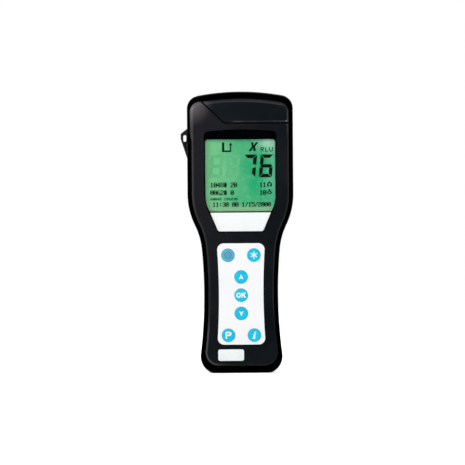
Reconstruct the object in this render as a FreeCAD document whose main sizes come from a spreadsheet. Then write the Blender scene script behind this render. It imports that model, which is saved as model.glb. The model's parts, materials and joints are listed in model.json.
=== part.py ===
import FreeCAD, Part
import Sketcher
import math
import os
import re
from types import SimpleNamespace

# Handheld luminometer, in millimetres.
# X points right, Y back and Z up. The display faces -Y and the case stands on its base at Z = 0,
# with the origin on the case's long axis in the plane of its base.
Vector = FreeCAD.Vector
doc = FreeCAD.newDocument("luminometer")


# Driving dimensions

DRIVING = {
    # Outer form of the case
    "case_length": 190.0,
    "base_cut": 0.6,
    "head_width": 71.6,
    "waist_width": 50.0,
    "case_front": 16.5,
    "case_back": 16.5,
    "band_half": 7.0,
    "wall": 2.2,
    "shoulder_drop": 69.0,
    "waist_drop": 136.0,
    "shoulder_radius": 48.0,
    "neck_radius": 48.0,
    "handle_radius": 320.0,
    "crown_radius": 156.0,
    "top_corner": 8.8,
    "bottom_corner": 12.0,
    "side_roll": 4.9,
    "end_roll": 7.4,
    "smallest_corner": 0.3,
    # Joint between the two shells
    "seam_gap": 0.5,
    "seam_inset": 0.5,
    "seal_width": 1.2,
    "slip_gap": 0.1,
    "piece_gap": 0.3,
    # Lid at the top and its hinge on the right
    "lid_height": 21.3,
    "lid_gap": 0.4,
    "lid_corner": -10.6,
    "lid_slant": 43.5,
    "lid_corner_round": 2.0,
    "liner_thickness": 1.6,
    "deck_thickness": 2.0,
    "hinge_inset": 2.1,
    "hinge_pin_radius": 0.9,
    "hinge_clearance": 0.05,
    "knuckle_half": 7.0,
    "ear_length": 3.6,
    "ear_end": 0.8,
    "hinge_block_wall": 1.2,
    # Display window
    "window_half": 24.3,
    "window_lid_margin": 5.9,
    "window_crown": 1.5,
    "window_upright": 47.4,
    "window_height": 67.8,
    "window_foot": 15.6,
    "window_corner": 2.5,
    "window_bend": 36.0,
    "window_thickness": 0.9,
    "window_clearance": 0.12,
    "window_sink": 0.1,
    "film_thickness": 0.15,
    "name_panel_height": 13.3,
    "name_panel_inset": 0.7,
    # Liquid crystal display
    "screen_half": 23.6,
    "screen_margin": 5.1,
    "screen_height": 48.9,
    "screen_foot": 20.8,
    "screen_corner": 1.7,
    "screen_bend": 22.0,
    "screen_clearance": 0.3,
    "lcd_margin": 1.4,
    "lcd_thickness": 2.1,
    "backlight_thickness": 2.4,
    "lcd_frame_wall": 1.4,
    "contact_strip_height": 1.2,
    # Keypad
    "keypad_gap": 7.4,
    "keypad_bottom": 19.3,
    "keypad_half": 16.3,
    "keypad_waist": 1.3,
    "keypad_corner": 4.3,
    "overlay_thickness": 0.5,
    "overlay_sink": 0.05,
    "key_radius": 4.45,
    "key_rise": 0.1,
    "key_chamfer": 0.25,
    "key_clearance": 0.15,
    "key_flange": 0.6,
    "key_flange_thickness": 0.8,
    "key_plunger_radius": 3.0,
    "key_travel": 0.4,
    "key_column": 8.75,
    "top_key_margin": 8.0,
    "bottom_key_margin": 6.3,
    "key_pitch": 12.3,
    "dome_radius": 3.5,
    "dome_height": 0.7,
    # Blank label at the lower left
    "label_left": -15.8,
    "label_right": 1.6,
    "label_bottom": 8.4,
    "label_top": 16.1,
    "label_corner": 1.4,
    "label_thickness": 0.2,
    # Main circuit board
    "board_front": 9.4,
    "board_thickness": 1.6,
    "board_inset": 3.4,
    "board_bottom": 9.0,
    "board_drop": 7.5,
    # Sample chamber
    "chamber_radius": 6.5,
    "chamber_wall": 1.4,
    "chamber_back": 4.0,
    "chamber_floor": 22.0,
    "chamber_floor_thickness": 1.5,
    "mouth_chamfer": 0.6,
    "seal_ring_width": 1.2,
    "seal_ring_depth": 0.8,
    "seal_ring_rise": 0.1,
    "cradle_thickness": 2.0,
    "lower_cradle": 66.0,
    "cradle_drop": 10.2,
    # Light detector
    "detector_half": 12.0,
    "detector_top": 46.0,
    "detector_bottom": 20.3,
    "detector_side": 8.6,
    "light_height": 31.0,
    "light_hole_radius": 3.0,
    "filter_radius": 4.0,
    "filter_thickness": 1.0,
    "photodiode_radius": 4.6,
    "photodiode_length": 2.6,
    "detector_board_width": 15.0,
    "detector_board_height": 20.0,
    "detector_board_thickness": 1.2,
    "shield_depth": 3.2,
    "shield_wall": 0.4,
    # Batteries, two of AA size
    "battery_radius": 7.25,
    "battery_length": 50.5,
    "battery_clearance": 0.35,
    "battery_side": 16.5,
    "battery_back": 6.2,
    "battery_drop": 10.0,
    "battery_nub_radius": 2.7,
    "battery_nub_height": 1.2,
    "spring_height": 3.4,
    "spring_radius": 3.6,
    "spring_wire": 0.35,
    "spring_turns": 3,
    "contact_thickness": 0.4,
    "well_wall": 1.4,
    "contact_half": 5.0,
    # Battery door
    "door_low_margin": 2.6,
    "door_high_margin": 0.9,
    "door_half": 24.6,
    "door_pin_radius": 0.8,
    "door_pin_length": 1.4,
    "door_clearance": 0.06,
    "grip_half": 9.0,
    "grip_groove": 0.9,
    "grip_pitch": 1.9,
    "grip_depth": 0.5,
    "grip_margin": 4.0,
    # Blank label on the back of the handle
    "rear_label_half": 12.5,
    "rear_label_bottom": 32.0,
    "rear_label_gap": 23.6,
    # Case screws
    "screw_radius": 1.25,
    "screw_clearance": 0.25,
    "screw_thread_gap": 0.04,
    "screw_head_radius": 2.0,
    "screw_head_height": 1.6,
    "screw_seat": 6.5,
    "screw_reach": 6.5,
    "front_boss_radius": 2.4,
    "rear_boss_radius": 3.0,
    "screw_row_low": 13.5,
    "screw_door_margin": 8.1,
    "screw_deck_margin": 3.1,
    "screw_side_low": 17.0,
    "screw_side_high": 20.0,
    # Data socket and its cover on the right flank
    "port_height": 53.0,
    "port_length": 11.0,
    "port_width": 7.4,
    "port_depth": 1.3,
    "port_pin_radius": 0.45,
    "port_pin_length": 1.0,
    "port_pin_clearance": 0.06,
    "port_gap": 0.3,
    "socket_length": 7.7,
    "socket_thickness": 3.9,
    "socket_reach": 9.0,
    "socket_shell": 0.35,
    # Strap lug on the left flank
    "lug_projection": 4.4,
    "lug_drop": 3.1,
    "lug_slope": 3.4,
    "lug_end": 3.5,
    "lug_root_length": 20.4,
    "lug_thickness": 4.6,
    "lug_bar": 1.8,
    "lug_slot_width": 2.0,
    "lug_slot_length": 4.4,
    "lug_slot_round": 0.9,
    "lug_slot_drop": 6.5,
    "lug_recess_depth": 0.8,
    "lug_rim": 0.9,
    "lug_corner": 1.2,
    "lug_fillet": 0.4,
    # Parts on the back of the main board
    "chip_thickness": 1.5,
    "processor_half": 6.0,
    "processor_drop": 35.0,
    "memory_half": 3.5,
    "memory_drop": 19.0,
    "driver_half": 4.5,
    "driver_drop": 47.0,
    "chip_column": 14.0,
    "capacitor_radius": 2.2,
    "capacitor_length": 3.4,
    "capacitor_near": 7.5,
    "capacitor_far": 13.5,
    "coin_cell_radius": 8.0,
    "coin_cell_thickness": 3.2,
    "coin_cell_height": 76.0,
    "buzzer_radius": 4.5,
    "buzzer_side": 14.0,
    "cable_width": 8.0,
    "cable_thickness": 0.3,
}

# Sizes that follow from the driving ones

DERIVED = {
    "head_half": "head_width / 2",
    "inner_front": "case_front - wall",
    "inner_back": "case_back - wall",
    "seam_half": "seam_gap / 2",
    # Heights that hang from the top of the case, so that its length changes the handle alone
    "shoulder_height": "case_length - shoulder_drop",
    "waist_height": "case_length - waist_drop",
    "lid_plane": "case_length - lid_height",
    "window_top": "lid_plane - window_lid_margin",
    "window_shoulder": "window_top - window_upright",
    "window_bottom": "window_top - window_height",
    "name_panel_top": "window_bottom + name_panel_height",
    "screen_top": "window_top - screen_margin",
    "screen_bottom": "screen_top - screen_height",
    # Hinge of the lid
    "case_top": "lid_plane - lid_gap / 2",
    "deck_bottom": "case_top - deck_thickness",
    "lid_bottom": "lid_plane + lid_gap / 2",
    "hinge_side": "head_half - hinge_inset",
    "hinge_height": "case_top - hinge_inset",
    "notch_half": "knuckle_half + piece_gap",
    "hinge_pin_half": "notch_half + ear_length - ear_end",
    "hinge_block_half": "notch_half + ear_length",
    "hinge_block_side": "hinge_side - hinge_inset - piece_gap - hinge_block_wall",
    "hinge_block_bottom": "hinge_height - hinge_inset - piece_gap - hinge_block_wall",
    # Layers behind the window, as distances in front of the middle plane
    "window_front": "case_front - window_sink",
    "window_back": "window_front - window_thickness",
    "film_back": "window_back - film_thickness",
    "lcd_front": "inner_front - slip_gap",
    "lcd_back": "lcd_front - lcd_thickness",
    "backlight_back": "lcd_back - backlight_thickness",
    "board_back": "board_front - board_thickness",
    # Main board and its chips
    "board_top": "deck_bottom - board_drop",
    "processor_height": "board_top - processor_drop",
    "memory_height": "board_top - memory_drop",
    "driver_height": "board_top - driver_drop",
    # Keypad
    "keypad_top": "window_bottom - keypad_gap",
    "top_key_row": "keypad_top - top_key_margin",
    "bottom_key_row": "keypad_bottom + bottom_key_margin",
    "ok_key_row": "(top_key_row + bottom_key_row) / 2",
    "up_key_row": "ok_key_row + key_pitch",
    "down_key_row": "ok_key_row - key_pitch",
    "overlay_front": "case_front - overlay_sink",
    "overlay_back": "overlay_front - overlay_thickness",
    "key_front": "case_front + key_rise",
    "key_flange_front": "inner_front - slip_gap * 2",
    "key_tip": "board_front + dome_height + key_travel + slip_gap",
    "key_hole": "key_radius + key_clearance",
    # Label
    "label_front": "case_front - window_sink / 2",
    "label_back": "label_front - label_thickness",
    "label_back_rear": "case_back - window_sink / 2 - label_thickness",
    # Chamber
    "chamber_outer": "chamber_radius + chamber_wall",
    "chamber_bottom": "chamber_floor - chamber_floor_thickness",
    "seal_ring_inner": "chamber_outer + piece_gap",
    "seal_ring_outer": "seal_ring_inner + seal_ring_width",
    # Detector
    "filter_side": "chamber_outer + slip_gap",
    "photodiode_side": "filter_side + filter_thickness + slip_gap",
    "detector_board_side": "detector_half + slip_gap",
    "shield_side": "detector_board_side + detector_board_thickness",
    # Batteries
    "battery_top": "deck_bottom - battery_drop",
    "battery_floor": "battery_top - battery_length",
    "well_half": "battery_radius + battery_clearance",
    "well_bottom": "battery_floor - spring_height - contact_thickness",
    "well_top": "battery_top + contact_thickness + slip_gap",
    "well_front": "battery_back - well_half",
    "well_side": "battery_side + well_half + well_wall",
    "upper_cradle": "well_bottom - cradle_drop",
    # Battery door, and what is placed below it
    "door_bottom": "well_bottom - door_low_margin",
    "door_top": "battery_top + door_high_margin",
    "screw_row_mid": "door_bottom - screw_door_margin",
    "screw_row_high": "deck_bottom - screw_deck_margin",
    "rear_label_top": "door_bottom - rear_label_gap",
    "door_pin_back": "case_back - wall / 2",
    "door_pin_height": "door_bottom + wall / 2",
    # Data socket
    "port_middle": "board_back - socket_thickness / 2",
    "port_front": "port_middle + port_width / 2",
    "port_rear": "port_middle - port_width / 2",
    "port_surface": "waist_width / 2",
    "port_pivot_side": "port_surface - port_depth / 2",
    "port_pivot_depth": "port_rear + port_depth / 2",
    "socket_mouth": "port_surface - port_depth - port_gap",
    # Strap lug
    "lug_reach": "head_half + lug_projection",
    "lug_top": "case_top - lug_drop",
    "lug_shoulder": "lug_top - lug_slope",
    "lug_knee": "lug_shoulder - lug_end",
    "lug_bottom": "lug_top - lug_root_length",
    "lug_slot_height": "lug_top - lug_slot_drop",
}


def fill_sheet():
    """Write the driving numbers and then the formulas that follow from them."""
    cells = doc.addObject("Spreadsheet::Sheet", "Sizes")
    row = 0
    for alias, value in DRIVING.items():
        row += 1
        cells.set(f"A{row}", alias)
        cells.set(f"B{row}", str(value))
        cells.setAlias(f"B{row}", alias)
    for alias, formula in DERIVED.items():
        row += 1
        cells.set(f"A{row}", alias)
        cells.set(f"B{row}", "=" + formula)
        cells.setAlias(f"B{row}", alias)
        doc.recompute()
    return cells


sheet = fill_sheet()
size = SimpleNamespace(**{name: float(sheet.get(name)) for name in [*DRIVING, *DERIVED]})
subparts = []


# Drawing helpers

def formula(text):
    """Point every alias in an expression at the sheet."""
    return re.sub(r"[a-z][a-z_]*", lambda word: "Sizes." + word.group(), str(text))


def bind(thing, **values):
    for key, text in values.items():
        thing.setExpression(key, formula(text))


def place(thing, at):
    for axis, text in zip("xyz", at):
        thing.setExpression(f"Placement.Base.{axis}", formula(text))


def box(name, low, high):
    """A block between two corners, each coordinate an expression."""
    block = doc.addObject("Part::Box", name)
    for key, start, end in zip(("Length", "Width", "Height"), low, high):
        bind(block, **{key: f"({end}) - ({start})"})
    place(block, low)
    return block


TURN = {"x": FreeCAD.Rotation(Vector(0, 1, 0), 90),
        "y": FreeCAD.Rotation(Vector(1, 0, 0), -90),
        "z": FreeCAD.Rotation()}


def rod(name, axis, start, length, radius):
    """A cylinder from the point start along one axis."""
    bar = doc.addObject("Part::Cylinder", name)
    bar.Placement = FreeCAD.Placement(Vector(), TURN[axis])
    bind(bar, Radius=radius, Height=length)
    place(bar, start)
    return bar


def fuse(name, shapes):
    joined = doc.addObject("Part::MultiFuse", name)
    joined.Shapes = shapes
    return joined


def group(name, shapes):
    """Separate solids that share one node."""
    together = doc.addObject("Part::Compound", name)
    together.Links = shapes
    return together


def overlap(name, shapes):
    shared = doc.addObject("Part::MultiCommon", name)
    shared.Shapes = shapes
    return shared


def cut(name, base, tools):
    tool = tools[0] if len(tools) == 1 else fuse(name + "_tools", tools)
    left = doc.addObject("Part::Cut", name)
    left.Base = base
    left.Tool = tool
    return left


def shaped(name, shape):
    """A form that is worked out by formula, kept as a shape."""
    form = doc.addObject("Part::Feature", name)
    form.Shape = shape
    form.Placement = FreeCAD.Placement()
    return form


def keep(label, thing):
    thing.Label = label
    subparts.append(thing)
    return thing


def mirrored(points):
    """Complete a right half, listed from top to bottom, with its left half."""
    return points + [(-x, z, corner) for x, z, corner in reversed(points)]


def plate(points, front, back, bulges=None):
    """A flat piece facing -Y, with its own corner radii and with bowed edges where asked."""
    edges = []
    count = len(points)
    for index, (x, z, _) in enumerate(points):
        next_x, next_z, _ = points[(index + 1) % count]
        start = Vector(x, -front, z)
        end = Vector(next_x, -front, next_z)
        bow = (bulges or {}).get(index, 0)
        if bow:
            along = (end - start).normalize()
            middle = (start + end) * 0.5 + Vector(-along.z, 0, along.x) * bow
            edges.append(Part.Arc(start, middle, end).toShape())
        else:
            edges.append(Part.makeLine(start, end))
    solid = Part.Face(Part.Wire(edges)).extrude(Vector(0, front - back, 0))
    for radius in sorted({corner for _, _, corner in points if corner > 0}):
        spots = [(x, z) for x, z, corner in points if corner == radius]
        uprights = [edge for edge in solid.Edges if stands_at(edge, spots, front - back)]
        solid = solid.makeFillet(radius, uprights)
    return solid


def stands_at(edge, spots, depth):
    """Whether an edge runs straight back from one of the given corners."""
    start = edge.Vertexes[0].Point
    end = edge.Vertexes[-1].Point
    straight = abs(abs(end.y - start.y) - depth) < 1e-6 and abs(edge.Length - depth) < 1e-6
    return straight and any(math.hypot(start.x - x, start.z - z) < 1e-6 for x, z in spots)


def sketch_on(body, role, name):
    origin = next(item for item in body.Origin.OriginFeatures if item.Role == role)
    sketch = body.newObject("Sketcher::SketchObject", name)
    sketch.AttachmentSupport = [(origin, "")]
    sketch.MapMode = "FlatFace"
    return sketch


def draw(sketch, points):
    """A closed outline whose corners are tied to the sheet, from the sketch's origin."""
    count = len(points)
    places = [[float(sheet.evalExpression(text)) for text in point] for point in points]
    for index in range(count):
        start = Vector(*places[index], 0)
        end = Vector(*places[(index + 1) % count], 0)
        sketch.addGeometry(Part.LineSegment(start, end), False)
    for index in range(count):
        following = (index + 1) % count
        sketch.addConstraint(Sketcher.Constraint("Coincident", index, 2, following, 1))
    for index, point in enumerate(points):
        for kind, text, value in zip(("DistanceX", "DistanceY"), point, places[index]):
            if abs(value) < 1e-9:
                axis = -2 if kind == "DistanceX" else -1
                sketch.addConstraint(Sketcher.Constraint("PointOnObject", index, 1, axis))
                continue
            number = sketch.addConstraint(Sketcher.Constraint(kind, -1, 1, index, 1, value))
            sketch.setExpression(f"Constraints[{number}]", formula(text))


def turned(name, plane, points, at):
    """A round piece: half its section, drawn as radius and distance, turned about the axis."""
    body = doc.addObject("PartDesign::Body", name)
    sketch = sketch_on(body, plane, name + "_section")
    draw(sketch, points)
    doc.recompute()
    turn = body.newObject("PartDesign::Revolution", name + "_turn")
    turn.Profile = sketch
    turn.ReferenceAxis = (sketch, ["V_Axis"])
    turn.Angle = 360
    place(body, at)
    return body


# Outer and inner form of the case

def away(centre, radius, target):
    """The point at a radius from a centre, in the direction of a target."""
    length = math.hypot(target[0] - centre[0], target[1] - centre[1])
    return tuple(c + radius * (t - c) / length for c, t in zip(centre, target))


def neck_centre(shoulder, handle):
    """Centre of the hollow arc that joins the shoulder to the handle."""
    reach = size.shoulder_radius + size.neck_radius
    inner = size.handle_radius - size.neck_radius
    across, down = handle[0] - shoulder[0], handle[1] - shoulder[1]
    span = math.hypot(across, down)
    along = (reach ** 2 - inner ** 2 + span ** 2) / (2 * span)
    side = math.sqrt(reach ** 2 - along ** 2)
    return (shoulder[0] + (along * across + side * down) / span,
            shoulder[1] + (along * down - side * across) / span)


def outline(side, end, depth):
    """Outline of the case seen from the front, drawn in by side and end, at one depth."""
    half = size.head_half - side
    shoulder = (size.head_half - size.shoulder_radius, size.shoulder_height)
    handle = (size.waist_width / 2 + size.handle_radius, size.waist_height)
    neck = neck_centre(shoulder, handle)
    crown = (0, size.case_length - end - size.crown_radius)
    round_top = size.top_corner - min(side, size.top_corner / 2)
    round_low = size.bottom_corner - min(side, size.bottom_corner / 2)
    top_x = half - round_top
    top = (top_x, crown[1] + math.sqrt((size.crown_radius - round_top) ** 2 - top_x ** 2))
    floor = end - size.base_cut
    low_z = floor + round_low
    flank = size.handle_radius + side
    low = (handle[0] - math.sqrt((flank + round_low) ** 2 - (handle[1] - low_z) ** 2), low_z)
    joints = [
        away(crown, size.crown_radius, top),
        (half, top[1]),
        (half, size.shoulder_height),
        away(shoulder, size.shoulder_radius - side, neck),
        away(handle, flank, neck),
        away(handle, flank, low),
        (low[0], floor),
    ]
    arcs = [(top, round_top), None, (shoulder, size.shoulder_radius - side),
            (neck, size.neck_radius + side), (handle, flank), (low, round_low)]

    def spot(point, mirror):
        return Vector(mirror * point[0], depth, point[1])

    def edge(index, mirror):
        first, last = joints[index], joints[index + 1]
        ends = [spot(first, mirror), spot(last, mirror)][::mirror]
        if arcs[index] is None:
            return Part.makeLine(*ends)
        centre, radius = arcs[index]
        middle = away(centre, radius, ((first[0] + last[0]) / 2, (first[1] + last[1]) / 2))
        return Part.Arc(ends[0], spot(middle, mirror), ends[1]).toShape()

    crown_top = Vector(0, depth, size.case_length - end)
    edges = [Part.Arc(spot(joints[0], -1), crown_top, spot(joints[0], 1)).toShape()]
    edges += [edge(index, 1) for index in range(len(arcs))]
    edges.append(Part.makeLine(spot(joints[-1], 1), spot(joints[-1], -1)))
    edges += [edge(index, -1) for index in reversed(range(len(arcs)))]
    return Part.Wire(edges)


ROLL_STEPS = 8
END_ROLL_POWER = 1.5
LOFT_DEGREE = 5


def rolled(inset, front, back):
    """The smooth case form: full size in the middle band, rolled in towards front and back."""
    sections = []
    for face, band in ((-front, -size.band_half), (back, size.band_half)):
        half = []
        for step in range(ROLL_STEPS + 1):
            angle = math.pi / 2 * step / ROLL_STEPS
            reach = math.sin(angle)
            side = size.side_roll * (1 - math.cos(angle))
            drawn_in = (1 - min(reach, 1) ** END_ROLL_POWER) ** (1 / END_ROLL_POWER)
            end = size.end_roll * (1 - drawn_in)
            half.append(outline(side + inset, end + inset, band + (face - band) * reach))
        sections.append(half)
    form = Part.makeLoft(sections[0][::-1] + sections[1], True, False, False, LOFT_DEGREE)
    reach = size.head_width
    above = Part.makeBox(2 * reach, 2 * reach, 2 * size.case_length, Vector(-reach, -reach, 0))
    return form.common(above)


outer_form = shaped("outer_form", rolled(0, size.case_front, size.case_back))
inner_form = shaped("inner_form", rolled(size.wall, size.inner_front, size.inner_back))
fitted_form = shaped("fitted_form", rolled(size.wall + size.slip_gap,
                                           size.inner_front - size.slip_gap,
                                           size.inner_back - size.slip_gap))


def lid_space(drop):
    """Everything above the lid's parting line, with the line moved down by drop."""
    slant = math.radians(size.lid_slant)
    slope = math.tan(slant / 2)
    corner_x = size.lid_corner - drop * math.sin(slant) + drop * slope * math.cos(slant)
    corner_z = size.lid_plane - drop
    reach = size.case_length
    points = [
        (corner_x, corner_z, max(size.lid_corner_round + drop, size.smallest_corner)),
        (corner_x - reach * math.cos(slant), corner_z + reach * math.sin(slant), 0),
        (reach, corner_z + reach * math.sin(slant), 0),
        (reach, corner_z, 0),
    ]
    return plate(points, size.head_width, -size.head_width)


lid_half_gap = size.lid_gap / 2
lid_side = shaped("lid_side", lid_space(-lid_half_gap))
case_side = shaped("case_side", lid_space(lid_half_gap))
liner_limit = shaped("liner_limit", lid_space(-lid_half_gap - size.liner_thickness))
deck_limit = shaped("deck_limit", lid_space(lid_half_gap + size.deck_thickness))


# Shapes shared by both shells

shell = cut("shell", outer_form, [inner_form])
front_half = box("front_half", ("-head_width", "-head_width", "-case_length"),
                 ("head_width", "-seam_half", "case_length * 2"))
rear_half = box("rear_half", ("-head_width", "seam_half", "-case_length"),
                ("head_width", "head_width", "case_length * 2"))
hinge_corner = cut(
    "hinge_corner",
    box("hinge_corner_block", ("hinge_side", "-head_width", "hinge_height"),
        ("head_width", "head_width", "case_length")),
    [rod("hinge_corner_round", "y", ("hinge_side", "-head_width", "hinge_height"),
         "head_width * 2", "hinge_inset")])
knuckle_notch = box(
    "knuckle_notch",
    ("hinge_side - hinge_inset - piece_gap", "-notch_half", "hinge_height - hinge_inset - piece_gap"),
    ("head_width", "notch_half", "case_length"))
hinge_bore = rod("hinge_bore", "y", ("hinge_side", "-hinge_pin_half - slip_gap", "hinge_height"),
                 "(hinge_pin_half + slip_gap) * 2", "hinge_pin_radius + hinge_clearance")
hinge_block = overlap("hinge_block", [
    box("hinge_block_stock", ("hinge_block_side", "-hinge_block_half", "hinge_block_bottom"),
        ("head_half", "hinge_block_half", "case_top")),
    outer_form])


# Display window and the layers behind it

def shield(half, top, corner, bend, offset):
    """Upright sides that bend in to the slanted lower sides of the window, moved out by offset."""
    lean = math.atan2(size.window_half - size.window_foot, size.window_shoulder - size.window_bottom)
    shoulder = size.window_shoulder + (half - size.window_half - offset) * math.tan(lean / 2)
    return [(half + offset, top + offset, max(corner + offset, size.smallest_corner)),
            (half + offset, shoulder, bend)]


def slanted_half(shift, height):
    """Half-width of the window's slanted side, moved out by shift, at one height."""
    lean = math.atan2(size.window_half - size.window_foot, size.window_shoulder - size.window_bottom)
    return (size.window_foot + (height - size.window_bottom) * math.tan(lean)
            + shift / math.cos(lean))


def window_plate(offset, front, back):
    sides = shield(size.window_half, size.window_top, size.window_corner, size.window_bend, offset)
    bottom = size.window_bottom - offset
    corner = max(size.screen_corner + offset, size.smallest_corner)
    points = mirrored(sides + [(slanted_half(offset, bottom), bottom, corner)])
    return plate(points, front, back, {len(points) - 1: size.window_crown})


def screen_plate(offset, front, back):
    shift = size.screen_half - size.window_half
    sides = shield(size.screen_half, size.screen_top, size.screen_corner, size.screen_bend, offset)
    bottom = size.screen_bottom - offset
    corner = max(offset, size.smallest_corner)
    return plate(mirrored(sides + [(slanted_half(shift + offset, bottom), bottom, corner)]), front, back)


def name_plate(front, back):
    top = size.name_panel_top
    bottom = size.window_bottom + size.name_panel_inset
    half = [slanted_half(-size.name_panel_inset, height) for height in (top, bottom)]
    points = mirrored([(half[0], top, size.smallest_corner), (half[1], bottom, size.screen_corner)])
    return plate(points, front, back)


keep("display_window", shaped("window_lens", window_plate(0, size.window_front, size.window_back)))
film_front, film_back = size.window_back, size.film_back
keep("name_panel", shaped("name_film", name_plate(film_front, film_back)))
keep("window_mask", cut("mask_film", shaped("mask_stock", window_plate(0, film_front, film_back)), [
    shaped("mask_screen", screen_plate(0, film_front, film_back)),
    shaped("mask_name", name_plate(film_front, film_back))]))
keep("lcd_glass", shaped("lcd_plates", screen_plate(size.lcd_margin, size.lcd_front, size.lcd_back)))
strip_bottom = "screen_bottom - lcd_margin"
strip_top = strip_bottom + " + contact_strip_height"
keep("lcd_backlight", cut("light_guide", shaped(
    "light_guide_stock", screen_plate(size.lcd_margin, size.lcd_back, size.backlight_back)), [
    box("light_guide_end", ("-head_half", "-case_front", "0"),
        ("head_half", "0", strip_top + " + slip_gap"))]))
keep("lcd_contacts", box("contact_strip", ("-screen_foot + lcd_margin", "-lcd_back", strip_bottom),
                         ("screen_foot - lcd_margin", "-board_front", strip_top)))
frame_inside = size.lcd_margin + size.slip_gap
keep("lcd_frame", cut("lcd_holder", shaped("lcd_holder_stock", screen_plate(
    frame_inside + size.lcd_frame_wall, size.lcd_front, size.board_front)), [
    shaped("lcd_holder_inside", screen_plate(frame_inside, size.lcd_front, size.board_front))]))


# Keypad

KEYS = {
    "key_power": ("-key_column", "top_key_row"),
    "key_star": ("key_column", "top_key_row"),
    "key_up": ("0", "up_key_row"),
    "key_ok": ("0", "ok_key_row"),
    "key_down": ("0", "down_key_row"),
    "key_program": ("-key_column", "bottom_key_row"),
    "key_info": ("key_column", "bottom_key_row"),
}


def keypad_plate(offset, front, back):
    half = size.keypad_half + offset
    corner = size.keypad_corner + offset
    points = mirrored([(half, size.keypad_top + offset, corner),
                       (half, size.keypad_bottom - offset, corner)])
    return plate(points, front, back, {0: -size.keypad_waist, 2: -size.keypad_waist})


def key_holes(prefix):
    """One through hole in the front wall for each key."""
    return [rod(f"{prefix}_{name}", "y", (across, "-case_front * 2", height),
                "case_front * 2 - key_flange_front", "key_hole")
            for name, (across, height) in KEYS.items()]


keep("keypad_overlay", cut("overlay", shaped("overlay_sheet", keypad_plate(
    0, size.overlay_front, size.overlay_back)), key_holes("overlay")))
for name, (across, height) in KEYS.items():
    section = [
        ("0", "-key_front"),
        ("key_radius - key_chamfer", "-key_front"),
        ("key_radius", "-key_front + key_chamfer"),
        ("key_radius", "-key_flange_front"),
        ("key_radius + key_flange", "-key_flange_front"),
        ("key_radius + key_flange", "-key_flange_front + key_flange_thickness"),
        ("key_plunger_radius", "-key_flange_front + key_flange_thickness"),
        ("key_plunger_radius", "-key_tip"),
        ("0", "-key_tip"),
    ]
    keep(name, turned(name + "_body", "XY_Plane", section, (across, "0", height)))
domes = []
for name, (across, height) in KEYS.items():
    dome = doc.addObject("Part::Cone", "dome_" + name)
    dome.Placement = FreeCAD.Placement(Vector(), FreeCAD.Rotation(Vector(1, 0, 0), 90))
    bind(dome, Radius1="dome_radius", Radius2="dome_radius - dome_height", Height="dome_height")
    place(dome, (across, "-board_front", height))
    domes.append(dome)
keep("key_domes", group("snap_domes", domes))

label_points = [(size.label_right, size.label_top), (size.label_right, size.label_bottom),
                (size.label_left, size.label_bottom), (size.label_left, size.label_top)]


def label_film(offset, front, back):
    middle_x = (size.label_left + size.label_right) / 2
    middle_z = (size.label_bottom + size.label_top) / 2
    points = [(x + math.copysign(offset, x - middle_x), z + math.copysign(offset, z - middle_z),
               size.label_corner + offset) for x, z in label_points]
    return plate(points, front, back)


keep("label_plate", shaped("label_sheet", label_film(0, size.label_front, size.label_back)))


def rear_label(offset, front, back):
    half = size.rear_label_half + offset
    corner = size.label_corner + offset
    points = mirrored([(half, size.rear_label_top + offset, corner),
                       (half, size.rear_label_bottom - offset, corner)])
    return plate(points, front, back)


keep("rear_label", shaped("rear_sheet", rear_label(
    0, -size.label_back_rear, -size.label_back_rear - size.label_thickness)))


# Screws and the bosses that they join

def bosses(name, radius, start, end, places):
    return [rod(f"{name}_{index}", "y", (x, start, z), f"({end}) - ({start})", radius)
            for index, (x, z) in enumerate(places)]


SCREWS = [(f"{side}{across}", height)
          for height, across in (("screw_row_low", "screw_side_low"),
                                 ("screw_row_mid", "screw_side_low"),
                                 ("screw_row_high", "screw_side_high"))
          for side in ("-", "")]
BOARD_SCREWS = SCREWS[:4]
screws = []
for index, (across, height) in enumerate(SCREWS):
    section = [
        ("0", "-screw_reach"),
        ("screw_radius", "-screw_reach"),
        ("screw_radius", "screw_seat"),
        ("screw_head_radius", "screw_seat"),
        ("screw_head_radius", "screw_seat + screw_head_height"),
        ("screw_radius / 2", "screw_seat + screw_head_height"),
        ("screw_radius / 2", "screw_seat + screw_head_height / 2"),
        ("0", "screw_seat + screw_head_height / 2"),
    ]
    screws.append(turned(f"screw_{index}", "XY_Plane", section, (across, "0", height)))
keep("case_screws", group("screws", screws))


# Front shell

port_recess = [
    box("port_pocket",
        ("socket_mouth", "-port_front - port_gap", "port_height - port_length / 2 - port_gap"),
        ("head_half", "-port_pivot_depth", "port_height + port_length / 2 + port_gap")),
    rod("port_knuckle_room", "z",
        ("port_pivot_side", "-port_pivot_depth", "port_height - port_length / 2 - port_gap"),
        "port_length + port_gap * 2", "port_depth / 2 + port_gap"),
    rod("port_pin_room", "z",
        ("port_pivot_side", "-port_pivot_depth",
         "port_height - port_length / 2 - port_pin_length - port_gap - slip_gap"),
        "port_length + (port_pin_length + port_gap + slip_gap) * 2",
        "port_pin_radius + port_pin_clearance"),
    box("socket_hole", ("socket_mouth - wall * 2", "-board_back - slip_gap",
                        "port_height - socket_length / 2 - slip_gap"),
        ("socket_mouth + slip_gap", "-board_back + socket_thickness + slip_gap",
         "port_height + socket_length / 2 + slip_gap")),
]
lens_floor = size.film_back
front_cuts = [
    case_side, hinge_corner, knuckle_notch, hinge_bore,
    shaped("window_pocket", window_plate(size.window_clearance, 2 * size.case_front, lens_floor)),
    shaped("screen_hole", screen_plate(size.screen_clearance, 2 * size.case_front, size.lcd_back)),
    shaped("keypad_pocket", keypad_plate(size.window_clearance, 2 * size.case_front,
                                         size.overlay_back)),
    shaped("label_pocket", label_film(size.window_clearance, 2 * size.case_front, size.label_back)),
]
front_cuts += key_holes("front")
front_cuts += bosses("thread_hole", "screw_radius + screw_thread_gap",
                     "-screw_reach - piece_gap", "0", SCREWS)
front_cuts += port_recess
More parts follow.
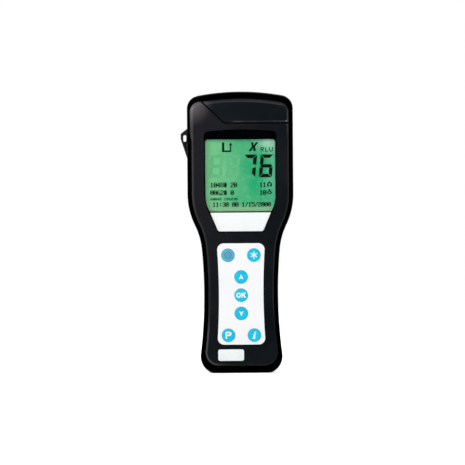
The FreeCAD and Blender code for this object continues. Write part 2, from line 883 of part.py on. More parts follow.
front_stock = fuse("front_stock", [shell, hinge_block]
                   + bosses("front_boss", "front_boss_radius", "-inner_front - wall / 4",
                            "-seam_half", SCREWS)
                   + bosses("board_seat", "front_boss_radius + seam_gap * 2",
                            "-inner_front - wall / 4", "-board_front", BOARD_SCREWS))
keep("front_case", cut("front_shell", overlap("front_rough", [front_stock, front_half]), front_cuts))


# Rear shell with the battery block, the lug and the cradles of the chamber

block_low = ("-well_side", "well_front - well_wall / 2", "well_bottom - well_wall")
block_high = ("well_side", "inner_back + wall / 4", "well_top + well_wall")
bays = [box(f"bay_{name}",
            (f"{side}battery_side - well_half", "well_front", "well_bottom"),
            (f"{side}battery_side + well_half", "case_back * 2", "well_top"))
        for name, side in (("left", "-"), ("right", ""))]
battery_block = cut("battery_block", box("block_stock", block_low, block_high), bays)
chamber_room = rod("chamber_room", "z", ("0", "chamber_back", "chamber_bottom"), "case_length",
                   "chamber_outer + slip_gap")
door_opening = box("door_opening",
                   ("-door_half - port_gap", "inner_back - slip_gap", "door_bottom - piece_gap"),
                   ("door_half + port_gap", "case_back * 2", "door_top + piece_gap"))
door_pin_bore = rod("door_pin_bore", "x",
                    ("-door_half - door_pin_length - port_gap - slip_gap", "door_pin_back",
                     "door_pin_height"),
                    "(door_half + door_pin_length + port_gap + slip_gap) * 2",
                    "door_pin_radius + door_clearance")
cradles = [box(f"cradle_{height}",
               ("-chamber_outer - wall", "chamber_back", height),
               ("chamber_outer + wall", "inner_back + wall / 4", f"{height} + cradle_thickness"))
           for height in ("lower_cradle", "upper_cradle")]
lug_front = -size.seam_half
lug_back = -size.seam_half - size.lug_thickness
lug_root = -size.head_half + size.wall / 2
lug_outline = [
    (lug_root, size.lug_top, 0),
    (-size.head_half, size.lug_top, size.lug_fillet),
    (-size.lug_reach, size.lug_shoulder, size.lug_corner),
    (-size.lug_reach, size.lug_knee, size.lug_corner),
    (-size.head_half, size.lug_bottom, 0),
    (lug_root, size.lug_bottom, 0),
]
slot_side = -size.lug_reach + size.lug_bar
slot_low = size.lug_slot_height - size.lug_slot_length / 2
slot_high = size.lug_slot_height + size.lug_slot_length / 2
slot_inner = slot_side + size.lug_slot_width
slot_outline = [(x, z, size.lug_slot_round)
                for x, z in ((slot_side, slot_low), (slot_side, slot_high),
                             (slot_inner, slot_high), (slot_inner, slot_low))]
recess_top = slot_low - size.lug_rim
recess_outline = [(slot_side, recess_top, 0),
                  (-size.head_half - size.piece_gap, recess_top, 0),
                  (-size.head_half - size.piece_gap, size.lug_bottom + size.lug_slot_length, 0)]
lug = shaped("lug", plate(lug_outline, lug_front, lug_back))
lug_slot = shaped("lug_slot", plate(slot_outline, size.case_front, -2 * size.case_back))
lug_recess = shaped("lug_recess", plate(recess_outline, 0, lug_front - size.lug_recess_depth))
rear_shell = overlap("rear_rough", [
    fuse("rear_stock", [shell, hinge_block]
         + bosses("rear_boss", "rear_boss_radius", "seam_half", "inner_back + wall / 4", SCREWS)),
    rear_half])
rear_solid = fuse("rear_solid", [rear_shell, battery_block, lug] + cradles)
rear_cuts = [case_side, hinge_corner, knuckle_notch, hinge_bore, chamber_room, door_opening,
             door_pin_bore, lug_slot, lug_recess,
             shaped("rear_label_pocket", rear_label(size.window_clearance, -size.label_back_rear,
                                                    -2 * size.case_back))]
rear_cuts += bosses("screw_hole", "screw_radius + screw_clearance", "0", "screw_seat * 2", SCREWS)
rear_cuts += bosses("head_hole", "screw_head_radius + screw_clearance", "screw_seat",
                    "case_back * 2", SCREWS)
keep("rear_case", cut("rear_shell", rear_solid, rear_cuts))


# Seal between the shells

def seam_ring(inset):
    face = Part.Face(outline(inset, inset, -size.seam_half))
    return face.extrude(Vector(0, size.seam_gap, 0))


keep("case_seal", cut("seam_seal", shaped("seam_outer", seam_ring(size.seam_inset)), [
    shaped("seam_inner", seam_ring(size.seam_inset + size.seal_width)),
    case_side, hinge_corner, hinge_block, knuckle_notch,
    box("seam_floor", ("-head_width", "-head_width", "-case_length"),
        ("head_width", "head_width", "0"))]))


# Lid, its liner and hinge pin

knuckle = rod("knuckle", "y", ("hinge_side", "-knuckle_half", "hinge_height"),
              "knuckle_half * 2", "hinge_inset")
knuckle_arm = box("knuckle_arm", ("hinge_side - hinge_inset", "-knuckle_half", "hinge_height"),
                  ("head_width", "knuckle_half", "lid_bottom + liner_thickness"))
lid_cap = cut("lid_cap", overlap("lid_rough", [outer_form, lid_side]), [inner_form])
lid_stock = fuse("lid_stock", [lid_cap, overlap("lid_knuckle", [
    fuse("lid_knuckle_stock", [knuckle, knuckle_arm]), outer_form])])
keep("lid_shell", cut("lid_whole", lid_stock, [hinge_bore]))
keep("lid_liner", cut("liner", overlap("liner_rough", [fitted_form, lid_side]), [
    liner_limit,
    rod("liner_hole", "z", ("0", "chamber_back", "0"), "case_length", "chamber_outer"),
    box("liner_hinge_room", ("hinge_side - hinge_inset - piece_gap", "-head_width", "0"),
        ("head_width", "head_width", "case_length"))]))
keep("hinge_pin", rod("lid_pin", "y", ("hinge_side", "-hinge_pin_half", "hinge_height"),
                      "hinge_pin_half * 2", "hinge_pin_radius"))


# Sample chamber

ring_room = cut("ring_room", rod("ring_room_outer", "z", (
    "0", "chamber_back", "case_top - seal_ring_depth"), "wall", "seal_ring_outer + slip_gap"), [
    rod("ring_room_inner", "z", ("0", "chamber_back", "0"), "case_length", "seal_ring_inner - slip_gap")])
keep("chamber_deck", cut("deck", overlap("deck_rough", [fitted_form, deck_limit]), [
    case_side, chamber_room, ring_room,
    box("deck_hinge_room", ("hinge_block_side - slip_gap", "-hinge_block_half - slip_gap", "0"),
        ("head_width", "hinge_block_half + slip_gap", "case_length"))]))
ring_low = "case_top - seal_ring_depth"
keep("chamber_seal", cut("seal_ring", rod(
    "seal_ring_stock", "z", ("0", "chamber_back", ring_low), "seal_ring_depth + seal_ring_rise",
    "seal_ring_outer"), [rod("seal_ring_hole", "z", ("0", "chamber_back", "0"), "case_length",
                             "seal_ring_inner")]))
tube = turned("tube_body", "XZ_Plane", [
    ("0", "chamber_bottom"),
    ("chamber_outer", "chamber_bottom"),
    ("chamber_outer", "case_top"),
    ("chamber_radius + mouth_chamfer", "case_top"),
    ("chamber_radius", "case_top - mouth_chamfer"),
    ("chamber_radius", "chamber_floor"),
    ("0", "chamber_floor"),
], ("0", "chamber_back", "0"))
keep("chamber_tube", cut("tube", tube, [
    rod("light_hole", "x", ("0", "chamber_back", "light_height"), "chamber_outer * 2",
        "light_hole_radius")]))


# Light detector beside the lower end of the chamber

keep("detector_housing", cut("detector_block", box(
    "detector_stock", ("-detector_half", "chamber_back - detector_side", "detector_bottom"),
    ("detector_half", "inner_back - slip_gap", "detector_top")), [
    chamber_room,
    rod("filter_room", "x", ("0", "chamber_back", "light_height"), "photodiode_side",
        "filter_radius + slip_gap"),
    rod("photodiode_room", "x", ("photodiode_side - slip_gap", "chamber_back", "light_height"),
        "detector_half", "photodiode_radius + slip_gap")]))
keep("chamber_window", rod("filter", "x", ("filter_side", "chamber_back", "light_height"),
                           "filter_thickness", "filter_radius"))
keep("photodiode", rod("diode", "x", ("photodiode_side", "chamber_back", "light_height"),
                       "photodiode_length", "photodiode_radius"))
board_low = ("chamber_back - detector_board_width / 2", "light_height - detector_board_height / 2")
board_high = ("chamber_back + detector_board_width / 2", "light_height + detector_board_height / 2")
keep("detector_board", box("detector_card", ("detector_board_side", *board_low),
                           ("shield_side", *board_high)))
keep("detector_shield", cut("shield_can", box(
    "shield_stock", ("shield_side", *board_low), ("shield_side + shield_depth", *board_high)), [
    box("shield_inside", ("shield_side", *(f"{text} + shield_wall" for text in board_low)),
        ("shield_side + shield_depth - shield_wall", *(f"{text} - shield_wall" for text in board_high)))]))
keep("detector_cable", box(
    "flat_cable", ("detector_board_side", "-board_back", "light_height - cable_width / 2"),
    ("detector_board_side + cable_thickness", board_low[0], "light_height + cable_width / 2")))


# Main board and what it carries

def board_shape():
    """A card that follows the case, cut off straight at its two ends."""
    card = Part.Face(outline(size.board_inset, 0, -size.board_front))
    card = card.extrude(Vector(0, size.board_thickness, 0))
    span = size.head_width
    band = Part.makeBox(2 * span, 2 * span, size.board_top - size.board_bottom,
                        Vector(-span, -span, size.board_bottom))
    return card.common(band)


keep("main_board", cut("board", shaped("board_stock", board_shape()), bosses(
    "board_hole", "front_boss_radius + slip_gap", "-case_front", "0", BOARD_SCREWS)))


def chip(name, across, height, half):
    return box(name, (f"{across} - {half}", "-board_back", f"{height} - {half}"),
               (f"{across} + {half}", "-board_back + chip_thickness", f"{height} + {half}"))


keep("board_chips", group("chips", [
    chip("processor", "0", "processor_height", "processor_half"),
    chip("memory", "chip_column", "memory_height", "memory_half"),
    chip("driver", "-chip_column", "driver_height", "driver_half")]))
keep("board_capacitors", group("capacitors", [
    rod(column + "_can", "y", (column, "-board_back", "driver_height"), "capacitor_length",
        "capacitor_radius")
    for column in ("capacitor_near", "capacitor_far")]))
keep("coin_cell", rod("clock_cell", "y", ("0", "-board_back", "coin_cell_height"),
                      "coin_cell_thickness", "coin_cell_radius"))
keep("buzzer", rod("sounder", "y", ("-buzzer_side", "-board_back", "port_height"),
                   "coin_cell_thickness", "buzzer_radius"))
socket_low = ("-board_back", "port_height - socket_length / 2")
socket_high = ("-board_back + socket_thickness", "port_height + socket_length / 2")
keep("data_socket", cut("socket", box(
    "socket_stock", ("socket_mouth - socket_reach", *socket_low), ("socket_mouth", *socket_high)), [
    box("socket_inside",
        ("socket_mouth - socket_reach + socket_shell",
         *(f"{text} + socket_shell" for text in socket_low)),
        ("head_half", *(f"{text} - socket_shell" for text in socket_high)))]))


# Rubber cover of the data socket

port_end = "port_height - port_length / 2"
cover_plate = overlap("cover_plate", [
    box("cover_stock", ("port_surface - port_depth", "-port_front", port_end),
        ("head_half", "-port_pivot_depth", "port_height + port_length / 2")), outer_form])
keep("port_cover", fuse("cover", [
    cover_plate,
    rod("cover_knuckle", "z", ("port_pivot_side", "-port_pivot_depth", port_end), "port_length",
        "port_depth / 2"),
    rod("cover_pin", "z",
        ("port_pivot_side", "-port_pivot_depth", f"{port_end} - port_pin_length - port_gap"),
        "port_length + (port_pin_length + port_gap) * 2", "port_pin_radius")]))


# Batteries, contacts and the door

def coil(radius, wire, height, turns):
    """A round-wire spring standing on Z = 0."""
    path = Part.makeLongHelix((height - 2 * wire) / turns, height - 2 * wire, radius)
    path.translate(Vector(0, 0, wire))
    ring = Part.Wire(Part.makeCircle(wire, Vector(radius, 0, wire), Vector(0, 1, 0)))
    return Part.Wire(path).makePipeShell([ring], True, True)


springs = []
plates = []
for name, side in (("left", "-"), ("right", "")):
    middle = f"{side}battery_side"
    keep(f"battery_{name}", turned(f"cell_{name}", "XZ_Plane", [
        ("0", "battery_floor"),
        ("battery_radius", "battery_floor"),
        ("battery_radius", "battery_top - battery_nub_height"),
        ("battery_nub_radius", "battery_top - battery_nub_height"),
        ("battery_nub_radius", "battery_top"),
        ("0", "battery_top"),
    ], (middle, "battery_back", "0")))
    spring = shaped(f"spring_{name}", coil(size.spring_radius, size.spring_wire,
                                           size.spring_height, size.spring_turns))
    place(spring, (middle, "battery_back", "battery_floor - spring_height"))
    springs.append(spring)
    for end, low in (("low", "well_bottom"), ("high", "battery_top")):
        plates.append(box(f"contact_{end}_{name}",
                          (f"{middle} - contact_half", "battery_back - contact_half", low),
                          (f"{middle} + contact_half", "battery_back + contact_half",
                           f"{low} + contact_thickness")))
keep("battery_springs", group("coil_springs", springs))
keep("battery_contacts", group("contact_plates", plates))
door_plate = overlap("door_plate", [shell, box(
    "door_stock", ("-door_half", "inner_back", "door_pin_height"),
    ("door_half", "case_back * 2", "door_top"))])
GRIP_GROOVES = 5
grooves = [box(f"grip_{index}",
               ("-grip_half", "case_back - grip_depth",
                f"door_top - grip_margin - grip_pitch * {index} - grip_groove"),
               ("grip_half", "case_back * 2", f"door_top - grip_margin - grip_pitch * {index}"))
           for index in range(GRIP_GROOVES)]
keep("battery_door", fuse("door", [
    cut("door_gripped", door_plate, grooves),
    overlap("door_edge", [
        rod("door_edge_stock", "x", ("-door_half", "door_pin_back", "door_pin_height"),
            "door_half * 2", "wall / 2"),
        outer_form]),
    rod("door_pin", "x", ("-door_half - door_pin_length - port_gap", "door_pin_back",
                          "door_pin_height"),
        "(door_half + door_pin_length + port_gap) * 2", "door_pin_radius")]))


# Check and write

doc.recompute()
for item in doc.Objects:
    if "Invalid" in item.State or "Error" in item.State:
        raise RuntimeError(f"{item.Name} failed: {item.State}")
os.makedirs("parts", exist_ok=True)
for piece in subparts:
    shape = piece.Shape
    if shape.isNull() or not shape.isValid() or not shape.Solids:
        raise RuntimeError(f"{piece.Label} has no valid solid")
    shape.exportStep(f"parts/{piece.Label}.step")
    print(piece.Label, len(shape.Solids), round(shape.Volume, 2))
print(len(subparts), "sub-parts")
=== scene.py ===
import functools
import itertools
import json
import math

import bmesh
import bpy
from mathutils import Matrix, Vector


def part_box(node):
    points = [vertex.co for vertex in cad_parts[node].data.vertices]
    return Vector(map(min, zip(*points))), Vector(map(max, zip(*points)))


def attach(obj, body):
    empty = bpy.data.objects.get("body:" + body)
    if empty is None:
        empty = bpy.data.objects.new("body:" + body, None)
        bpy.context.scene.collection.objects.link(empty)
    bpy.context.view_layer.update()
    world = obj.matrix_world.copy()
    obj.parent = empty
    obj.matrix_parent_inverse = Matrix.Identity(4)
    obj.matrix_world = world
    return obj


# Handheld luminometer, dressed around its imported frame.
# Lengths are millimetres and become metres where a mesh, lamp or camera is made.
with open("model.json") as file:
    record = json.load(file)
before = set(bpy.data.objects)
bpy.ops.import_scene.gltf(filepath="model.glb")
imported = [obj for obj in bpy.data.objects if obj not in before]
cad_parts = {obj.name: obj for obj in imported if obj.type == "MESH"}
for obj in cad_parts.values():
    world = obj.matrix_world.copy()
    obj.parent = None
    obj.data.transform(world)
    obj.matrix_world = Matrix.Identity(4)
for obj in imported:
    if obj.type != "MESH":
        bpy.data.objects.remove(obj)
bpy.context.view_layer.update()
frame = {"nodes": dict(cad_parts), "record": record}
MM = 0.001


def corners(node):
    """The lowest and highest corner of a node's box, in millimetres."""
    return tuple(Vector(corner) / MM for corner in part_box(node))


# Node graph helpers

BEVEL_SAMPLES = 4


class Finish:
    """One procedural material: a single shader, fed from the piece's own coordinates."""

    def __init__(self, name, **constants):
        self.material = bpy.data.materials.new(name)
        self.material.use_nodes = True
        self.tree = self.material.node_tree
        self.shader = self.tree.nodes["Principled BSDF"]
        place = self.tree.nodes.new("ShaderNodeTexCoord").outputs["Object"]
        self.place = self.vector("SCALE", place, Scale=1 / MM)
        for label, value in constants.items():
            self.shader.inputs[label.replace("_", " ")].default_value = value

    def feed(self, socket, value):
        if isinstance(value, bpy.types.NodeSocket):
            self.tree.links.new(value, socket)
        else:
            socket.default_value = value

    def vector(self, operation, first, second=None, Scale=None):
        node = self.tree.nodes.new("ShaderNodeVectorMath")
        node.operation = operation
        self.feed(node.inputs[0], first)
        if second is not None:
            self.feed(node.inputs[1], second)
        if Scale is not None:
            node.inputs["Scale"].default_value = Scale
        return node.outputs["Value" if operation in ("LENGTH", "DOT_PRODUCT") else "Vector"]

    def math(self, operation, first, second=0.0, third=0.0, clamp=False):
        node = self.tree.nodes.new("ShaderNodeMath")
        node.operation = operation
        node.use_clamp = clamp
        for socket, value in zip(node.inputs, (first, second, third)):
            self.feed(socket, value)
        return node.outputs[0]

    def times(self, *factors):
        return functools.reduce(functools.partial(self.math, "MULTIPLY"), factors)

    def plus(self, *parts):
        return functools.reduce(functools.partial(self.math, "ADD"), parts)

    def rest(self, amount):
        """What is left of 1."""
        return self.math("SUBTRACT", 1.0, amount)

    def axis(self, letter):
        """One coordinate of the surface point, in millimetres."""
        node = self.tree.nodes.new("ShaderNodeSeparateXYZ")
        self.feed(node.inputs[0], self.place)
        return node.outputs[letter]

    def distance(self, centre, ways):
        """How far the surface point is from a point, counting only some ways."""
        offset = self.vector("SUBTRACT", self.place, centre)
        return self.vector("LENGTH", self.vector("MULTIPLY", offset, ways))

    def step(self, value, low, high):
        """0 at low, 1 at high, smooth between; low may be the larger."""
        node = self.tree.nodes.new("ShaderNodeMapRange")
        node.interpolation_type = "SMOOTHSTEP"
        self.feed(node.inputs["Value"], value)
        node.inputs["From Min"].default_value = low
        node.inputs["From Max"].default_value = high
        return node.outputs["Result"]

    def between(self, value, low, high, edge):
        """1 inside the range, 0 outside it."""
        rise = self.step(value, low - edge, low + edge)
        return self.times(rise, self.step(value, high + edge, high - edge))

    def noise(self, size, detail=2.0, rough=0.5, stretch=(1, 1, 1)):
        node = self.tree.nodes.new("ShaderNodeTexNoise")
        self.feed(node.inputs["Vector"], self.vector("DIVIDE", self.place, stretch))
        node.inputs["Scale"].default_value = 1 / size
        node.inputs["Detail"].default_value = detail
        node.inputs["Roughness"].default_value = rough
        return node.outputs["Fac"]

    def blend(self, amount, first, second):
        """A colour between two colours."""
        node = self.tree.nodes.new("ShaderNodeMix")
        node.data_type = "RGBA"
        node.clamp_factor = True
        self.feed(node.inputs[0], amount)
        self.feed(node.inputs[6], first)
        self.feed(node.inputs[7], second)
        return node.outputs[2]

    def lift(self, amount, low, high):
        """A number from low to high as amount goes from 0 to 1."""
        return self.math("MULTIPLY_ADD", amount, high - low, low)

    def rounded(self, radius):
        """The normal as it would be with every sharp edge rounded."""
        node = self.tree.nodes.new("ShaderNodeBevel")
        node.samples = BEVEL_SAMPLES
        node.inputs["Radius"].default_value = radius * MM
        return node.outputs[0]

    def sharp_edge(self, radius, gain):
        """1 on a sharp edge, 0 where the surface is flat around the point."""
        true_normal = self.tree.nodes.new("ShaderNodeNewGeometry").outputs["Normal"]
        likeness = self.vector("DOT_PRODUCT", self.rounded(radius), true_normal)
        return self.math("MULTIPLY", self.rest(likeness), gain, clamp=True)

    def bump(self, height, depth, soften=0.0):
        """Relief of so many millimetres, on edges softened by so many."""
        node = self.tree.nodes.new("ShaderNodeBump")
        node.inputs["Distance"].default_value = depth * MM
        self.feed(node.inputs["Height"], height)
        if soften:
            self.feed(node.inputs["Normal"], self.rounded(soften))
        self.feed(self.shader.inputs["Normal"], node.outputs[0])
        return node.outputs[0]

    def colour(self, value):
        self.feed(self.shader.inputs["Base Color"], value)

    def roughness(self, value):
        self.feed(self.shader.inputs["Roughness"], value)

    def gloss(self, value):
        self.feed(self.shader.inputs["Specular IOR Level"], value)


def rgb(red, green, blue):
    """A colour given as it appears on screen, from 0 to 255, turned to linear light."""
    parts = [channel / 255 for channel in (red, green, blue)]
    return tuple(c / 12.92 if c <= 0.04045 else ((c + 0.055) / 1.055) ** 2.4 for c in parts) + (1.0,)


# Finishes, one function for each material slot of the frame or for a family of them.
# Each pair of places is a fade: 0 at the first and 1 at the second. A third number is the width of its ends.

FACE_DEPTH = 16.5
RIM_DEPTH = 15.93
FRONT_FADE = (-7, -9)
# Fade of the painted shade on the front roll
SHADED_ROLL_FADE = (-6, -10)
LEFT_FADE = (22, -34)
LEFT_SIDE = (-6, -26)
HEIGHT_FADE = (52, 140)
HANDLE = (40, 112, 8)
FOOT_FADE = (13, 6)
SHOULDER_ACROSS = (-18, -28)
SHOULDER_UP = (156, 163)
HEAD_FADE = (177, 184)
LOW_GLOSS = (38, 24)
WAIST_GLOSS = (104, 120)
HEAD_GLOSS = (158, 170)
LID_CORNER = (-10.6, 0, 168.7)
LID_SLANT = math.radians(43.5)
LID_BEND = 1.5
# Width of the painted shade along the lid's gap
GAP_SHADE = (0.75, 0.35)
# Band and start of the painted highlight along the lid's edge
EDGE_HIGHLIGHT_BAND = (0.75, 1.35, 0.3)
EDGE_HIGHLIGHT_START = (3, 7)
# Centre and reach of the painted highlight on the upper left corner
PAINTED_SHEEN_CENTRE = (-34.5, 0, 183.0)
PAINTED_SHEEN = (18, 3)
# Centre and reach of the painted glint
GLINT_CENTRE = (31.2, 0, 169.9)
GLINT = (0.8, 0.2)
FROM_FRONT = (1, 0, 1)


def case_black():
    """Satin moulded plastic on the front and back faces, dark on the rounded flank; the front roll has no
    gloss and is painted near black as shade, and the front face carries painted light, shade and highlights.
    """
    finish = Finish("case_black")
    across, deep, up = finish.axis("X"), finish.axis("Y"), finish.axis("Z")
    depth = finish.math("ABSOLUTE", deep)
    front = finish.step(deep, *FRONT_FADE)

    # The face ends at a line that lies a little deeper at the head and shallower at the handle.
    left = finish.step(across, *LEFT_FADE)
    left_side = finish.step(across, *LEFT_SIDE)
    handle = finish.between(up, *HANDLE)
    shoulder = finish.times(finish.step(across, *SHOULDER_ACROSS), finish.step(up, *SHOULDER_UP))
    head_edge = finish.math("SUBTRACT", RIM_DEPTH, finish.times(finish.step(up, *HEAD_FADE), 0.75))
    shoulder_edge = finish.math("SUBTRACT", RIM_DEPTH, finish.times(shoulder, 1.2))
    edge = finish.plus(finish.math("MINIMUM", head_edge, shoulder_edge),
                       finish.times(handle, finish.lift(left_side, 0.3, 0.14)),
                       finish.times(finish.step(up, *FOOT_FADE), finish.lift(left_side, 0.2, -0.2)))
    face = finish.step(finish.math("SUBTRACT", depth, edge), -0.14, 0.14)
    roll = finish.times(face, finish.step(depth, FACE_DEPTH - 0.02, FACE_DEPTH - 0.12))

    # The lid's parting line: level on the right, slanted on the left, with painted shade along the gap and a
    # painted highlight along the lid's edge above it.
    from_corner = finish.vector("SUBTRACT", finish.place, LID_CORNER)
    level = finish.vector("DOT_PRODUCT", from_corner, (0, 0, 1))
    slant = finish.vector("DOT_PRODUCT", from_corner, (math.sin(LID_SLANT), 0, math.cos(LID_SLANT)))
    above = finish.math("SMOOTH_MIN", level, slant, LID_BEND)
    lid = finish.step(above, -0.2, 0.2)
    off_line = finish.math("ABSOLUTE", above)
    painted_gap_shade = finish.times(front, face, finish.step(off_line, *GAP_SHADE))
    painted_edge_highlight = finish.times(front, face, finish.between(level, *EDGE_HIGHLIGHT_BAND), finish.step(slant, *EDGE_HIGHLIGHT_START))

    cloud = finish.noise(24, 3)
    streak = finish.noise(4, 3, 0.5, (4, 1, 1))
    grain = finish.noise(0.42, 3, 0.6)
    # Painted light and shade: the face is painted lighter towards the left and the top, where the light
    # falls, and darker towards the lower right.
    low_tone = finish.blend(left, rgb(6, 13, 16), rgb(17, 19, 21))
    high_tone = finish.blend(left, rgb(15, 19, 23), rgb(32, 30, 34))
    tone = finish.blend(finish.step(up, *HEIGHT_FADE), low_tone, high_tone)
    tone = finish.blend(finish.times(lid, 0.7), tone, rgb(14, 20, 24))
    tone = finish.blend(finish.times(finish.step(cloud, 0.35, 0.7), 0.35), tone, rgb(30, 33, 38))
    # A broad painted highlight on the upper left corner of the front face.
    painted_sheen = finish.times(front, finish.step(finish.distance(PAINTED_SHEEN_CENTRE, FROM_FRONT), *PAINTED_SHEEN))
    tone = finish.blend(finish.times(painted_sheen, 0.9), tone, rgb(96, 92, 95))
    # Painted highlight: a light streaky line along the lid's level edge, where the edge catches the light.
    edge_highlight_tone = finish.blend(finish.step(streak, 0.35, 0.65), rgb(44, 49, 55), rgb(72, 76, 82))
    tone = finish.blend(painted_edge_highlight, tone, edge_highlight_tone)
    # Painted shade: a near black line along the parting gap.
    tone = finish.blend(painted_gap_shade, tone, rgb(2, 3, 4))
    # Painted glint: a small light spot at the right end of the parting line.
    glint = finish.times(front, finish.step(finish.distance(GLINT_CENTRE, FROM_FRONT), *GLINT))
    tone = finish.blend(glint, tone, rgb(112, 112, 116))
    tone = finish.blend(finish.times(finish.step(grain, 0.62, 0.8), 0.4), tone, rgb(40, 41, 45))

    # The roll between the front face and the flank has no gloss, and its near black colour is painted shade.
    before_face = finish.step(deep, -RIM_DEPTH - 0.4, -RIM_DEPTH + 0.4)
    shaded_dull_roll = finish.times(finish.step(deep, *SHADED_ROLL_FADE), before_face)
    painted_roll_shade = finish.blend(finish.step(grain, 0.45, 0.85), rgb(0, 0, 1), rgb(5, 5, 6))
    flank_tone = finish.blend(finish.step(cloud, 0.3, 0.7), rgb(14, 14, 16), rgb(20, 20, 23))
    side_tone = finish.blend(shaded_dull_roll, flank_tone, painted_roll_shade)
    # Sharp edges are painted lighter: partly rubbed by handling, partly a painted highlight where they catch
    # the light.
    edge_wear_and_highlight = finish.times(finish.sharp_edge(0.35, 4.0), finish.lift(finish.step(cloud, 0.35, 0.6), 0.1, 0.5))
    worn_and_highlit_edges = finish.times(edge_wear_and_highlight, finish.rest(shaded_dull_roll))
    finish.colour(finish.blend(worn_and_highlit_edges, finish.blend(face, side_tone, tone), rgb(48, 50, 55)))

    left_gloss = finish.math("SUBTRACT", finish.lift(finish.step(up, *LOW_GLOSS), 0.26, 0.7),
                             finish.times(handle, 0.14))
    right_gloss = finish.plus(finish.times(finish.step(up, *WAIST_GLOSS), 0.08),
                              finish.times(finish.step(up, *HEAD_GLOSS), 0.2))
    roll_gloss = finish.plus(finish.times(left_side, left_gloss),
                             finish.times(finish.rest(left_side), right_gloss))
    face_gloss = finish.plus(finish.times(roll, roll_gloss, finish.step(off_line, 0.5, 1.0)), 0.035)
    flank_gloss = finish.lift(shaded_dull_roll, 0.3, 0.0)
    finish.gloss(finish.plus(finish.times(face, face_gloss), finish.times(finish.rest(face), flank_gloss)))
    uneven = finish.times(finish.noise(9, 4), 0.12)
    finish.roughness(finish.plus(finish.lift(face, 0.56, 0.34), uneven))
    finish.bump(grain, 0.02, 0.3)
    return finish.material


def moulded(name, dark, light, grain_size=0.5, shine=0.25, rough=0.5, depth=0.015, soften=0.2):
    """A plain moulded plastic or rubber with cloudy tone and a fine grain."""
    finish = Finish(name, Specular_IOR_Level=shine)
    grain = finish.noise(grain_size, 3, 0.6)
    toned = finish.blend(finish.step(finish.noise(12, 3), 0.3, 0.7), dark, light)
    # Sharp edges are painted lighter: partly rubbed by handling, partly a painted highlight.
    edge_wear_and_highlight = finish.times(finish.sharp_edge(0.25, 3.0), 0.3)
    finish.colour(finish.blend(edge_wear_and_highlight, toned, rgb(120, 120, 124)))
    finish.roughness(finish.lift(finish.noise(4, 4), rough - 0.08, rough + 0.1))
    finish.bump(grain, depth, soften)
    return finish.material


LENS_IOR = 1.05
LENS_TINT = (0.99, 0.995, 0.99, 1)


def window_clear():
    """The clear lens: see-through, with a faint reflection on its outer side."""
    finish = Finish("window_clear")
    tree = finish.tree
    clear = tree.nodes.new("ShaderNodeBsdfTransparent")
    clear.inputs["Color"].default_value = LENS_TINT
    mirror = tree.nodes.new("ShaderNodeBsdfGlossy")
    finish.feed(mirror.inputs["Roughness"], finish.lift(finish.noise(6, 4), 0.05, 0.12))
    finish.feed(mirror.inputs["Normal"], finish.bump(finish.noise(3, 2), 0.002))
    fresnel = tree.nodes.new("ShaderNodeFresnel")
    fresnel.inputs["IOR"].default_value = LENS_IOR
    inside = tree.nodes.new("ShaderNodeNewGeometry").outputs["Backfacing"]
    outer_only = finish.times(fresnel.outputs[0], finish.rest(inside))
    mixed = tree.nodes.new("ShaderNodeMixShader")
    for socket, source in zip(mixed.inputs, (outer_only, clear.outputs[0], mirror.outputs[0])):
        tree.links.new(source, socket)
    tree.links.new(mixed.outputs[0], tree.nodes["Material Output"].inputs["Surface"])
    tree.nodes.remove(finish.shader)
    return finish.material


def mask_black():
    """Black print on the inside of the lens."""
    finish = Finish("mask_black", Specular_IOR_Level=0.01)
    cloud = finish.noise(8, 3)
    finish.colour(finish.blend(cloud, rgb(0, 1, 2), rgb(2, 3, 5)))
    finish.roughness(finish.lift(cloud, 0.4, 0.52))
    finish.bump(finish.noise(0.3, 2), 0.002)
    return finish.material


def printed_white(name, paper, shade, grain_size=0.25, rough=0.45):
    """White printed film: almost even, with a slight drift of tone and a fine tooth."""
    finish = Finish(name, Specular_IOR_Level=0.2)
    grain = finish.noise(grain_size, 3, 0.6)
    toned = finish.blend(finish.step(finish.noise(30, 3), 0.35, 0.7), paper, shade)
    finish.colour(finish.blend(finish.times(finish.step(grain, 0.5, 0.8), 0.35), toned, shade))
    finish.roughness(finish.lift(finish.noise(3, 4), rough - 0.07, rough + 0.08))
    finish.bump(grain, 0.006, 0.1)
    return finish.material


LCD_LEFT_FADE = 2
LCD_DEEP_ACROSS = (5, 17, 4)
LCD_DEEP_UP = (118, 150, 9)
LCD_RIGHT_FADE = (17, 23)
# Where the painted reflection lies on the display
LCD_REFLECTION_ACROSS = (6, 20)
LCD_REFLECTION_UP = (146, 156)
LCD_FOOT_FADE = 115


